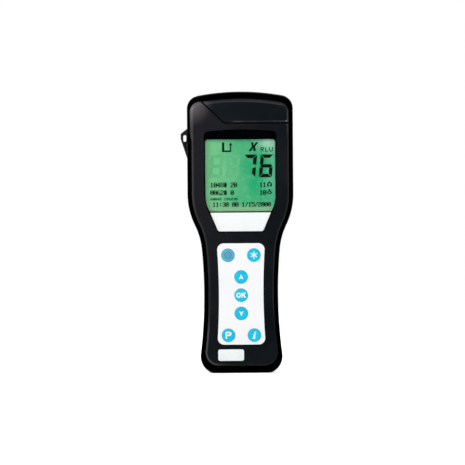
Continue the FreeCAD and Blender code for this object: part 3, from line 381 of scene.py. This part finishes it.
def lcd_green():
    """The lit green of the display: yellower on the left, deepest between the last figures, with a painted
    reflection in the upper right corner.
    """
    low, _ = corners("lcd_glass")
    finish = Finish("lcd_green", Specular_IOR_Level=0.1)
    up = finish.axis("Z")
    drift = finish.times(finish.math("SUBTRACT", finish.noise(11, 3), 0.5), 16)
    across = finish.plus(finish.axis("X"), drift)
    tone = finish.blend(finish.step(across, LCD_LEFT_FADE, low.x + 5), rgb(74, 178, 124), rgb(120, 200, 142))
    deeper = finish.times(finish.between(across, *LCD_DEEP_ACROSS), finish.between(up, *LCD_DEEP_UP))
    tone = finish.blend(finish.times(deeper, 0.85), tone, rgb(26, 168, 112))
    tone = finish.blend(finish.step(across, *LCD_RIGHT_FADE), tone, rgb(92, 192, 148))
    # Painted reflection: a pale patch in the upper right corner of the display.
    painted_reflection = finish.times(finish.step(across, *LCD_REFLECTION_ACROSS), finish.step(up, *LCD_REFLECTION_UP))
    tone = finish.blend(painted_reflection, tone, rgb(158, 212, 184))
    tone = finish.blend(finish.step(up, LCD_FOOT_FADE, low.z + 2.5), tone, rgb(138, 192, 146))
    tone = finish.blend(finish.step(up, low.z + 2.05, low.z + 1.7), tone, rgb(48, 92, 66))
    mottle = finish.noise(2.2, 4, 0.65)
    finish.colour(finish.blend(finish.times(finish.step(mottle, 0.45, 0.75), 0.3), tone, rgb(134, 204, 158)))
    finish.roughness(finish.lift(mottle, 0.3, 0.5))
    finish.bump(finish.noise(0.2, 2), 0.002)
    return finish.material


def ink(name, colour, deep):
    """Thin print or liquid crystal segments."""
    finish = Finish(name, Specular_IOR_Level=0.1)
    finish.colour(finish.blend(finish.step(finish.noise(1.3, 3), 0.35, 0.7), colour, deep))
    finish.roughness(finish.lift(finish.noise(0.8, 2), 0.35, 0.5))
    finish.bump(finish.noise(0.2, 2), 0.002)
    return finish.material


def key_film(name, bright, deep):
    """The coloured tops of the keys: satin film with a slight drift of tone."""
    finish = Finish(name, Specular_IOR_Level=0.25)
    finish.colour(finish.blend(finish.step(finish.noise(5, 3), 0.35, 0.7), bright, deep))
    finish.roughness(finish.lift(finish.noise(1.5, 3), 0.34, 0.44))
    finish.bump(finish.noise(0.3, 3), 0.004, 0.2)
    return finish.material


def metal(name, colour, tint, rough=0.3, stretch=(1, 1, 8)):
    """Bare or plated metal with a drawn grain."""
    finish = Finish(name, Metallic=1.0)
    streak = finish.noise(0.6, 3, 0.6, stretch)
    toned = finish.blend(finish.step(finish.noise(5, 3), 0.3, 0.7), colour, tint)
    finish.colour(finish.blend(finish.times(streak, 0.25), toned, rgb(96, 92, 86)))
    finish.roughness(finish.lift(streak, rough - 0.08, rough + 0.15))
    finish.bump(streak, 0.006, 0.1)
    return finish.material


def label_silver():
    """Brushed foil of the blank rating label."""
    finish = Finish("label_silver", Metallic=0.55, Specular_IOR_Level=0.4)
    brushed = finish.noise(0.35, 3, 0.6, (14, 1, 1))
    finish.colour(finish.blend(brushed, rgb(168, 171, 174), rgb(204, 206, 208)))
    finish.roughness(finish.lift(brushed, 0.34, 0.5))
    finish.bump(brushed, 0.004, 0.1)
    return finish.material


BAND_SHARE = 0.24
CAP_SHARE = 0.035


def battery_sleeve():
    """Shrink sleeve of the cells: dark body, a copper band and a bare metal end at the top."""
    low, high = corners("battery_left")
    span = high.z - low.z
    finish = Finish("battery_sleeve", Specular_IOR_Level=0.5)
    up = finish.axis("Z")
    band_foot = high.z - BAND_SHARE * span
    cap_foot = high.z - CAP_SHARE * span
    copper_band = finish.step(up, band_foot - 0.1, band_foot + 0.1)
    cap = finish.step(up, cap_foot - 0.05, cap_foot + 0.05)
    body = finish.blend(finish.noise(7, 3), rgb(22, 24, 28), rgb(36, 38, 44))
    copper = finish.blend(finish.noise(2, 3, 0.5, (1, 1, 6)), rgb(178, 120, 52), rgb(206, 150, 76))
    finish.colour(finish.blend(cap, finish.blend(copper_band, body, copper), rgb(176, 178, 180)))
    finish.feed(finish.shader.inputs["Metallic"], finish.math("MAXIMUM", copper_band, cap))
    finish.roughness(finish.lift(finish.noise(1.2, 3), 0.22, 0.36))
    finish.bump(finish.noise(0.9, 3), 0.006, 0.15)
    return finish.material


FINISHES = {
    "case_black": case_black(),
    "liner_black": moulded("liner_black", rgb(20, 21, 23), rgb(30, 31, 34)),
    "seal_rubber": moulded("seal_rubber", rgb(12, 12, 13), rgb(20, 20, 22), 0.3, 0.12, 0.7),
    "cover_rubber": moulded("cover_rubber", rgb(16, 16, 18), rgb(24, 24, 27), 0.3, 0.15, 0.68, 0.02),
    "window_clear": window_clear(),
    "mask_black": mask_black(),
    "panel_white": printed_white("panel_white", rgb(253, 254, 254), rgb(247, 250, 251)),
    "lcd_green": lcd_green(),
    "light_guide": moulded("light_guide", rgb(214, 226, 214), rgb(232, 240, 230), 0.8, 0.5, 0.3),
    "frame_grey": moulded("frame_grey", rgb(70, 72, 74), rgb(92, 94, 96)),
    "overlay_white": printed_white("overlay_white", rgb(251, 252, 253), rgb(246, 247, 251)),
    "key_power_blue": key_film("key_power_blue", rgb(68, 186, 212), rgb(54, 172, 206)),
    "key_cyan": key_film("key_cyan", rgb(16, 204, 234), rgb(10, 190, 232)),
    "spring_steel": metal("spring_steel", rgb(196, 196, 192), rgb(170, 170, 168), 0.24),
    "label_white": printed_white("label_white", rgb(250, 253, 253), rgb(240, 249, 248)),
    "label_silver": label_silver(),
    "screw_steel": metal("screw_steel", rgb(150, 152, 154), rgb(120, 122, 126), 0.34),
    "board_green": moulded("board_green", rgb(16, 84, 52), rgb(24, 104, 64), 0.6, 0.5, 0.35),
    "chip_black": moulded("chip_black", rgb(24, 24, 26), rgb(34, 34, 36), 0.3),
    "can_aluminium": metal("can_aluminium", rgb(205, 206, 208), rgb(184, 186, 190), 0.28),
    "cell_steel": metal("cell_steel", rgb(200, 200, 198), rgb(180, 180, 178), 0.22),
    "tin_steel": metal("tin_steel", rgb(188, 190, 190), rgb(168, 170, 172), 0.3),
    "cable_amber": moulded("cable_amber", rgb(170, 96, 30), rgb(190, 112, 40), 0.8, 0.5, 0.3),
    "filter_clear": moulded("filter_clear", rgb(90, 118, 150), rgb(110, 140, 170), 0.8, 0.6, 0.12),
    "battery_sleeve": battery_sleeve(),
}
SEGMENT_INK = ink("segment_ink", rgb(0, 8, 7), rgb(4, 18, 13))
FAINT_INK = ink("faint_ink", rgb(10, 76, 48), rgb(16, 92, 58))
GHOST_INK = ink("ghost_ink", rgb(104, 190, 134), rgb(94, 180, 126))
GLYPH_INK = ink("glyph_ink", rgb(246, 252, 253), rgb(238, 250, 252))
POWER_INK = ink("power_ink", rgb(148, 88, 126), rgb(160, 84, 112))
for subpart in frame["record"]["subparts"]:
    for holder in frame["nodes"][subpart["node"]].material_slots:
        holder.material = FINISHES[subpart["material_slot"]]


# Thin printed shapes, drawn in the XZ plane in millimetres.
# A shape is a list of points, or a pair of such lists for a ring.

def prism(solid, outline, front, back):
    """Add one closed flat shape to a mesh, from its outline of x and z."""
    count = len(outline)
    rings = [[solid.verts.new((x * MM, depth * MM, z * MM)) for x, z in outline]
             for depth in (front, back)]
    solid.faces.new(rings[0])
    solid.faces.new(rings[1][::-1])
    for index in range(count):
        following = (index + 1) % count
        solid.faces.new((rings[0][index], rings[1][index], rings[1][following], rings[0][following]))


def band(solid, outer, inner, front, back):
    """Add one closed ring between two outlines with as many points."""
    count = len(outer)
    loops = [[solid.verts.new((x * MM, depth * MM, z * MM)) for x, z in outline]
             for depth in (front, back) for outline in (outer, inner)]
    for index in range(count):
        following = (index + 1) % count
        for first, second in ((0, 1), (1, 3), (3, 2), (2, 0)):
            solid.faces.new((loops[first][index], loops[second][index],
                             loops[second][following], loops[first][following]))


def printed(name, shapes, front, back, material, body, slot):
    """A piece made of flat shapes, riding on a body."""
    solid = bmesh.new()
    for shape in shapes:
        if isinstance(shape, tuple):
            band(solid, *shape, front, back)
        else:
            prism(solid, shape, front, back)
    bmesh.ops.recalc_face_normals(solid, faces=solid.faces)
    mesh = bpy.data.meshes.new(name)
    solid.to_mesh(mesh)
    solid.free()
    piece = bpy.data.objects.new(name, mesh)
    bpy.context.scene.collection.objects.link(piece)
    mesh.materials.append(material)
    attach(piece, body)


def moved(shapes, change):
    """The same shapes with every point put through a function of x and z."""
    return [tuple([change(x, z) for x, z in outline] for outline in shape) if isinstance(shape, tuple)
            else [change(x, z) for x, z in shape] for shape in shapes]


def shifted(shapes, across, up):
    return moved(shapes, lambda x, z: (x + across, z + up))


def ribbon(path, width):
    """A stroke of even width along a path, with mitred corners."""
    points = [Vector(point) for point in path]
    runs = [(after - before).normalized() for before, after in zip(points, points[1:])]
    near, far = [], []
    for point, before, after in zip(points, runs[:1] + runs, runs + runs[-1:]):
        across = Vector((-before.y - after.y, before.x + after.x)).normalized()
        reach = across * width / 2 / across.dot(Vector((-after.y, after.x)))
        near.append(tuple(point + reach))
        far.append(tuple(point - reach))
    return near + far[::-1]


def arc(centre, half_width, half_height, start, end, count=14):
    """Points on an ellipse between two angles in degrees, both ends included."""
    angles = [math.radians(start + (end - start) * step / count) for step in range(count + 1)]
    return [(centre[0] + half_width * math.cos(a), centre[1] + half_height * math.sin(a)) for a in angles]


def ring(centre, half_width, half_height, stroke, count=32):
    outer = arc(centre, half_width, half_height, 0, 360, count)[:-1]
    inner = arc(centre, half_width - stroke, half_height - stroke, 0, 360, count)[:-1]
    return outer, inner


# Plain block letters, one unit high

def letter(name, stroke):
    """The width and the shapes of one letter, which touch but don't overlap."""
    half = stroke / 2
    stem = [(0, 0), (stroke, 0), (stroke, 1), (0, 1)]

    def bowl(low, reach):
        radius = (1 - low - stroke) / 2
        bend = arc((reach - half - radius, (1 + low) / 2), radius, radius, 90, -90)
        return ribbon([(stroke, 1 - half)] + bend + [(stroke, low + half)], stroke)

    if name == "O":
        return 0.88, [ring((0.44, 0.5), 0.44, 0.5, stroke)]
    if name == "K":
        arms = [(stroke, 0.36), (stroke, 0.62), (0.50, 1), (0.86, 1), (0.56, 0.55), (0.90, 0), (0.54, 0),
                (0.36, 0.40)]
        return 0.90, [stem, arms]
    if name == "P":
        return 0.84, [stem, bowl(0.41, 0.84)]
    if name == "R":
        return 0.83, [stem, bowl(0.44, 0.78), [(0.24, 0.44), (0.50, 0.44), (0.83, 0), (0.57, 0)]]
    if name == "L":
        return 0.67, [ribbon([(half, 1), (half, half), (0.67, half)], stroke)]
    if name == "U":
        radius = 0.465 - half
        bend = arc((0.465, half + radius), radius, radius, 180, 360)
        return 0.93, [ribbon([(half, 1)] + bend + [(0.93 - half, 1)], stroke)]
    foot = [(0.02, 0), (0.48, 0), (0.48, 0.11), (0.38, 0.11), (0.38, 0.67), (0.04, 0.67), (0.04, 0.56),
            (0.14, 0.56), (0.14, 0.11), (0.02, 0.11)]
    return 0.50, [foot, arc((0.28, 0.87), 0.13, 0.13, 0, 360)[:-1]]


def word(text, height, stroke, spacing=0.12, lean=0.0):
    """The shapes of a row of letters, centred on the origin."""
    shapes = []
    pen = 0.0
    for name in text:
        width, drawn = letter(name, stroke / height)
        shapes += shifted(drawn, pen, 0)
        pen += width + spacing
    middle = (pen - spacing) / 2
    return moved(shapes, lambda x, z: ((x - middle + lean * (z - 0.5)) * height, (z - 0.5) * height))


# Display content: plain numbers, generic marks and rows of digits

GLASS_FRONT = corners("lcd_glass")[0].y
CRYSTAL_DEPTHS = (GLASS_FRONT - 0.06, GLASS_FRONT - 0.01)
LEAN = 0.095


def crystal(name, shapes, material=SEGMENT_INK, slot="mask_black"):
    printed(name, shapes, *CRYSTAL_DEPTHS, material, "case", slot)


def segments(width, height, stroke):
    """Seven slanted bars with mitred tips, from the lower left corner of a digit, keyed a to g."""
    gap = stroke * 0.1
    half = stroke / 2
    middle = height / 2

    def level(z, tilt):
        left, right = gap, width - gap
        if tilt == 0:
            return [(left + half, z - half), (left, z), (left + half, z + half),
                    (right - half, z + half), (right, z), (right - half, z - half)]
        inner = z - tilt * stroke
        return [(left, z), (right, z), (right - stroke, inner), (left + stroke, inner)]

    def upright(x, low, high, side):
        inner = x + side * stroke
        return [(x, low + (gap if low == 0 else half * 0.4 + gap)),
                (x, high - (gap if high == height else half * 0.4 + gap)),
                (inner, high - (stroke + gap if high == height else half + gap)),
                (inner, low + (stroke + gap if low == 0 else half + gap))]

    drawn = {
        "a": level(height, 1),
        "b": upright(width, middle, height, -1),
        "c": upright(width, 0, middle, -1),
        "d": level(0, -1),
        "e": upright(0, 0, middle, 1),
        "f": upright(0, middle, height, 1),
        "g": level(middle, 0),
    }
    return {name: [(x + LEAN * z, z) for x, z in outline] for name, outline in drawn.items()}


DIGIT_HEIGHT = 15.4
DIGIT_WIDTH = 8.8
DIGIT_STROKE = 2.35
DIGIT_PITCH = 11.2
DIGIT_FOOT = 132.0
LAST_DIGIT = 12.4
LIT = {"7": "abc", "6": "acdefg", "8": "abcdefg"}
DIGIT_BARS = segments(DIGIT_WIDTH, DIGIT_HEIGHT, DIGIT_STROKE)


def digit(name, figure, place, material=SEGMENT_INK, slot="mask_black"):
    """One large figure, so many places before the last."""
    shapes = [DIGIT_BARS[key] for key in LIT[figure]]
    crystal(name, shifted(shapes, LAST_DIGIT - place * DIGIT_PITCH, DIGIT_FOOT), material, slot)


digit("reading_digit_0", "6", 0)
digit("reading_digit_1", "7", 1)
digit("ghost_digit_2", "8", 2, GHOST_INK, "lcd_green")
digit("ghost_digit_3", "8", 3, GHOST_INK, "lcd_green")


def tray_mark(left, right, low, high):
    """A bracket with an arrow rising out of its right side."""
    heavy, foot, thin, head = 1.5, 1.1, 0.8, 1.2
    neck = high - 1.7 * head
    return [ribbon([(left + heavy / 2, low + foot), (left + heavy / 2, high)], heavy),
            ribbon([(left, low + foot / 2), (right + thin / 2, low + foot / 2)], foot),
            ribbon([(right, low + foot), (right, neck)], thin),
            [(right - head, neck), (right + head, neck), (right, high)]]


def cross_mark(centre, height, half, stroke, lean):
    """A bold leaning cross: four arms about a middle lozenge."""
    core = stroke * 0.62
    drop = core * 0.7
    shapes = [[(-core, 0), (0, drop), (core, 0), (0, -drop)]]
    for side, rise in ((-1, 1), (1, 1), (1, -1), (-1, -1)):
        tip = rise * height / 2
        shapes.append([(side * core, 0), (0, rise * drop), (side * (half - stroke / 2), tip),
                       (side * (half + stroke / 2), tip)])
    return shifted(moved(shapes, lambda x, z: (x + lean * z, z)), *centre)


crystal("tray_symbol", tray_mark(-12.2, -6.4, 149.2, 155.7))
crystal("limit_symbol", cross_mark((9.0, 152.7), 5.9, 1.65, 1.75, 0.28))
crystal("unit_mark", shifted(word("RLU", 3.0, 0.6, 0.2), 18.0, 150.8), FAINT_INK)

DOTS = {
    "0": "01110 10001 10011 10101 11001 10001 01110",
    "1": "00100 01100 00100 00100 00100 00100 01110",
    "2": "01110 10001 00001 00110 01000 10000 11111",
    "3": "01110 10001 00001 00110 00001 10001 01110",
    "4": "00010 00110 01010 10010 11111 00010 00010",
    "5": "11111 10000 11110 00001 00001 10001 01110",
    "6": "00110 01000 10000 11110 10001 10001 01110",
    "8": "01110 10001 10001 01110 10001 10001 01110",
    ":": "00000 00100 00100 00000 00100 00100 00000",
    "/": "00001 00010 00010 00100 01000 01000 10000",
    "#": "01010 01010 11111 01010 11111 01010 01010",
    "house": "00100 01010 10001 10001 10001 11111 00000",
    "drop": "00100 00100 01010 10001 10001 01110 00000",
    " ": "",
}
DOT_LINES = 7
DOT_COLUMNS = 5
DOT_SHARE = 0.97
SIGN_SHARE = 0.86
BOLD = 0.85


def dot_row(name, signs, left, middle, height, pitch, material=SEGMENT_INK):
    """A row of bold dot matrix characters, each run of lit dots drawn as one strip."""
    tall = height / DOT_LINES
    wide = pitch * SIGN_SHARE / DOT_COLUMNS
    shapes = []
    for place, sign in enumerate(signs):
        for line, dots in enumerate(DOTS[sign].split()):
            low = middle + height / 2 - (line + 1) * tall
            high = low + tall * DOT_SHARE
            for dot, run in itertools.groupby(range(DOT_COLUMNS), dots.__getitem__):
                columns = list(run)
                if dot == "1":
                    start = left + place * pitch + columns[0] * wide
                    end = start + (len(columns) + BOLD) * wide
                    shapes.append([(start, low), (end, low), (end, high), (start, high)])
    crystal(name, shapes, material)


# Name, signs, left edge, middle line, height and pitch of each row
dot_row("row_count", "1048# 20", -20.4, 127.0, 3.3, 2.28)
dot_row("row_count_right", "11", 12.8, 127.0, 3.3, 2.35)
dot_row("row_count_sign", ["house"], 18.0, 127.2, 4.0, 3.2)
dot_row("row_step", "0062# 0", -20.4, 121.8, 3.3, 2.28)
dot_row("row_step_right", "10", 12.8, 121.8, 3.3, 2.35)
dot_row("row_step_sign", ["drop"], 18.0, 122.0, 4.0, 3.2)
dot_row("row_note", "60048 246830", -20.3, 117.5, 1.9, 1.52, FAINT_INK)
dot_row("row_clock", "11:30 00 1/15/2000", -18.9, 113.8, 3.1, 2.19)


# Marks on the keys, each riding on its own key

KEY_FRONT = corners("key_ok")[0].y
GLYPH_RISE = 0.01


def glyph(key, shapes, material=GLYPH_INK, slot="overlay_white"):
    low, high = corners(key)
    placed = shifted(shapes, (low.x + high.x) / 2, (low.z + high.z) / 2)
    printed(key + "_mark", placed, KEY_FRONT - GLYPH_RISE, KEY_FRONT + GLYPH_RISE, material, key, slot)


def star_mark(reach, stroke):
    """Six arms about a middle hexagon, so that no two shapes overlap."""
    hexagon = arc((0, 0), stroke, stroke, 0, 360, 6)
    shapes = [hexagon[:-1]]
    for first, second in zip(hexagon, hexagon[1:]):
        out = (Vector(first) + Vector(second)).normalized() * (reach - stroke)
        shapes.append([first, (first[0] + out.x, first[1] + out.y),
                       (second[0] + out.x, second[1] + out.y), second])
    return shapes


def arrow_mark(direction):
    """A solid arrowhead with a notch in its base."""
    outline = [(0, 1.85), (1.55, -1.6), (0, -0.85), (-1.55, -1.6)]
    return [[(x, z * direction) for x, z in outline][::direction]]


def power_mark(radius, stroke, gap, tick):
    """A ring open at the top, with a short upright in the gap."""
    bend = arc((0, 0), radius, radius, 90 + gap / 2, 450 - gap / 2, 30)
    return [ribbon(bend, stroke), ribbon([(0, radius - tick / 2), (0, radius + tick / 2)], stroke)]


glyph("key_power", power_mark(2.1, 0.65, 34, 1.4), POWER_INK, "key_power_blue")
glyph("key_star", star_mark(2.5, 0.66))
glyph("key_up", arrow_mark(1))
glyph("key_down", arrow_mark(-1))
glyph("key_ok", word("OK", 3.5, 0.74, 0.1))
glyph("key_program", word("P", 4.7, 0.95))
glyph("key_info", word("i", 4.7, 1.0, lean=0.2))


# The name panel's print. The lens touches the panel's face, so the print lies just inside the lens.

FLATNESS = 0.001


def front_outline(node):
    """The edge of a flat node's front face, as points of x and z in millimetres."""
    holder = frame["nodes"][node]
    points = [holder.matrix_world @ vertex.co / MM for vertex in holder.data.vertices]
    front = min(point.y for point in points) + FLATNESS
    sides = []
    for polygon in holder.data.polygons:
        loop = [points[index] for index in polygon.vertices]
        if all(point.y < front for point in loop):
            ends = [(round(point.x, 3), round(point.z, 3)) for point in loop]
            sides += zip(ends, ends[1:] + ends[:1])
    known = set(sides)
    following = dict(side for side in sides if side[::-1] not in known)
    outline = [next(iter(following))]
    while following[outline[-1]] != outline[0]:
        outline.append(following[outline[-1]])
    return outline


PANEL_FRONT = corners("name_panel")[0].y
PANEL_DEPTHS = (PANEL_FRONT - 0.05, PANEL_FRONT - 0.02)
printed("name_panel_print", [front_outline("name_panel")], *PANEL_DEPTHS, FINISHES["panel_white"], "case",
        "panel_white")


# A fine border on the blank rating label

def frame_outline(low, high, inset):
    return [(low.x + inset, low.z + inset), (high.x - inset, low.z + inset),
            (high.x - inset, high.z - inset), (low.x + inset, high.z - inset)]


LABEL_LOW, LABEL_HIGH = corners("rear_label")
BORDER_INSET = 1.2
BORDER_STROKE = 0.3
printed("rear_label_border", [(frame_outline(LABEL_LOW, LABEL_HIGH, BORDER_INSET),
                               frame_outline(LABEL_LOW, LABEL_HIGH, BORDER_INSET + BORDER_STROKE))],
        LABEL_HIGH.y - GLYPH_RISE, LABEL_HIGH.y + GLYPH_RISE, FINISHES["chip_black"], "case", "chip_black")


# The rubber seal in the slanted part of the lid's gap
# Name, start and end along the slant, and half the depth of each strip
SEAL_STRIPS = (("lid_gap_seal", 1.5, 20.5, 12.0), ("lid_gap_seal_tip", 20.5, 25.2, 6.5),
               ("lid_gap_seal_end", 25.2, 26.4, 4.0))
SEAL_FOOT, SEAL_TOP = -0.19, 0.1
along_gap = Vector((-math.cos(LID_SLANT), math.sin(LID_SLANT)))
across_gap = Vector((math.sin(LID_SLANT), math.cos(LID_SLANT)))
gap_corner = Vector((LID_CORNER[0], LID_CORNER[2]))
for name, start, end, half_depth in SEAL_STRIPS:
    ends = ((start, SEAL_FOOT), (end, SEAL_FOOT), (end, SEAL_TOP), (start, SEAL_TOP))
    seal_outline = [tuple(gap_corner + along_gap * run + across_gap * rise) for run, rise in ends]
    printed(name, [seal_outline], -half_depth, half_depth, FINISHES["seal_rubber"], "case", "seal_rubber")


# Camera: the photo's scale sets its distance, and the photo's slight lean its roll

PHOTO_WIDTH = 465
MM_PER_PIXEL = 0.676
AXIS_PIXEL = 240.22
BASE_PIXEL = 372.4
MIDDLE_PIXEL = 232.0
LENS = 400.0
SENSOR = 36.0
LEAN_OF_PHOTO = math.radians(0.43)
BAND_FRONT = -7.0
camera_distance = PHOTO_WIDTH * MM_PER_PIXEL * LENS / SENSOR
camera_data = bpy.data.cameras.new("camera")
camera_data.lens = LENS
camera_data.sensor_width = SENSOR
camera = bpy.data.objects.new("camera", camera_data)
camera.location = Vector(((MIDDLE_PIXEL - AXIS_PIXEL) * MM_PER_PIXEL, BAND_FRONT - camera_distance,
                          (BASE_PIXEL - MIDDLE_PIXEL) * MM_PER_PIXEL)) * MM
camera.rotation_euler = (math.pi / 2, LEAN_OF_PHOTO, 0)
bpy.context.scene.collection.objects.link(camera)
bpy.context.scene.camera = camera


# Lamps, floor and backdrop, in metres

LAMP_TARGET = Vector((0, 0, 0.1))


def softbox(name, azimuth, elevation, far, width, height, watts):
    """A rectangular lamp aimed at the object. Azimuth 0 is in front, positive to its right."""
    lamp = bpy.data.lights.new(name, "AREA")
    lamp.shape = "RECTANGLE"
    lamp.size = width
    lamp.size_y = height
    lamp.energy = watts
    holder = bpy.data.objects.new(name, lamp)
    turn, rise = math.radians(azimuth), math.radians(elevation)
    way = Vector((math.sin(turn) * math.cos(rise), -math.cos(turn) * math.cos(rise), math.sin(rise)))
    holder.location = LAMP_TARGET + way * far
    holder.rotation_euler = (-way).to_track_quat("-Z", "Y").to_euler()
    bpy.context.scene.collection.objects.link(holder)


# Name, azimuth and elevation, distance, width and height, and watts of each lamp
softbox("left_box", -64, 24, 0.9, 0.28, 0.5, 3.9)
softbox("right_strip", 62, 6, 0.9, 0.05, 0.5, 1.2)
softbox("front_fill", 8, 46, 1.3, 0.8, 0.6, 4.0)
softbox("back_fill", 160, 42, 1.3, 1.0, 0.8, 4.0)
softbox("right_back", 124, 16, 1.1, 0.3, 0.7, 2.8)
softbox("left_back", -132, 16, 1.1, 0.3, 0.7, 1.6)

FLOOR_HALF = 3.0
FLOOR_WHITE = (0.8, 0.8, 0.8, 1)
FLOOR_GLOW = 0.45
SHADOW_REACH = (120, 320)
WHITE = (1, 1, 1, 1)
SOFT_LIGHT = 0.45
BEHIND = (0.7, 0.97)
MIRRORED_ROOM = 0.06


def seen_directly(tree):
    """1 for what the eye meets straight, in a mirror or through glass, 0 for light on the object."""
    path = tree.nodes.new("ShaderNodeLightPath")
    total = path.outputs["Is Camera Ray"]
    for label in ("Is Glossy Ray", "Is Transmission Ray"):
        larger = tree.nodes.new("ShaderNodeMath")
        larger.operation = "MAXIMUM"
        tree.links.new(total, larger.inputs[0])
        tree.links.new(path.outputs[label], larger.inputs[1])
        total = larger.outputs[0]
    return total


def stage_floor():
    """A plain white floor that keeps the object's soft shadow and fades to the backdrop's white."""
    solid = bmesh.new()
    solid.faces.new([solid.verts.new((x * FLOOR_HALF, y * FLOOR_HALF, 0))
                     for x, y in ((-1, -1), (1, -1), (1, 1), (-1, 1))])
    mesh = bpy.data.meshes.new("floor")
    solid.to_mesh(mesh)
    solid.free()
    floor = bpy.data.objects.new("floor", mesh)
    bpy.context.scene.collection.objects.link(floor)
    finish = Finish("floor_white")
    tree = finish.tree
    tree.nodes.remove(finish.shader)
    plain = tree.nodes.new("ShaderNodeBsdfDiffuse")
    plain.inputs["Color"].default_value = FLOOR_WHITE
    away = finish.step(finish.distance((0, 0, 0), (1, 1, 0)), *SHADOW_REACH)
    glow = tree.nodes.new("ShaderNodeEmission")
    level = finish.times(finish.lift(away, FLOOR_GLOW, 1.0), seen_directly(tree))
    finish.feed(glow.inputs["Strength"], level)
    both = tree.nodes.new("ShaderNodeAddShader")
    tree.links.new(plain.outputs[0], both.inputs[0])
    tree.links.new(glow.outputs[0], both.inputs[1])
    tree.links.new(both.outputs[0], tree.nodes["Material Output"].inputs["Surface"])
    mesh.materials.append(finish.material)


def studio_world():
    """White backdrop behind the object, soft grey light from all round."""
    world = bpy.data.worlds.new("studio")
    bpy.context.scene.world = world
    world.use_nodes = True
    tree = world.node_tree
    tree.nodes.clear()

    def background(strength):
        node = tree.nodes.new("ShaderNodeBackground")
        node.inputs["Color"].default_value = WHITE
        node.inputs["Strength"].default_value = strength
        return node

    def mixed(amount, first, second):
        node = tree.nodes.new("ShaderNodeMixShader")
        for socket, source in zip(node.inputs, (amount, first, second)):
            tree.links.new(source, socket)
        return node.outputs[0]

    parts = tree.nodes.new("ShaderNodeSeparateXYZ")
    tree.links.new(tree.nodes.new("ShaderNodeTexCoord").outputs["Generated"], parts.inputs[0])
    behind = tree.nodes.new("ShaderNodeMapRange")
    behind.interpolation_type = "SMOOTHSTEP"
    for label, value in zip(("From Min", "From Max", "To Min", "To Max"), (*BEHIND, MIRRORED_ROOM, 1.0)):
        behind.inputs[label].default_value = value
    tree.links.new(parts.outputs["Y"], behind.inputs["Value"])
    room = background(1.0)
    tree.links.new(behind.outputs["Result"], room.inputs["Color"])
    glossy = tree.nodes.new("ShaderNodeLightPath").outputs["Is Glossy Ray"]
    seen = mixed(glossy, background(1.0).outputs[0], room.outputs[0])
    lit = mixed(seen_directly(tree), background(SOFT_LIGHT).outputs[0], seen)
    out = tree.nodes.new("ShaderNodeOutputWorld")
    tree.links.new(lit, out.inputs["Surface"])


stage_floor()
studio_world()
bpy.context.scene.view_settings.view_transform = "Standard"
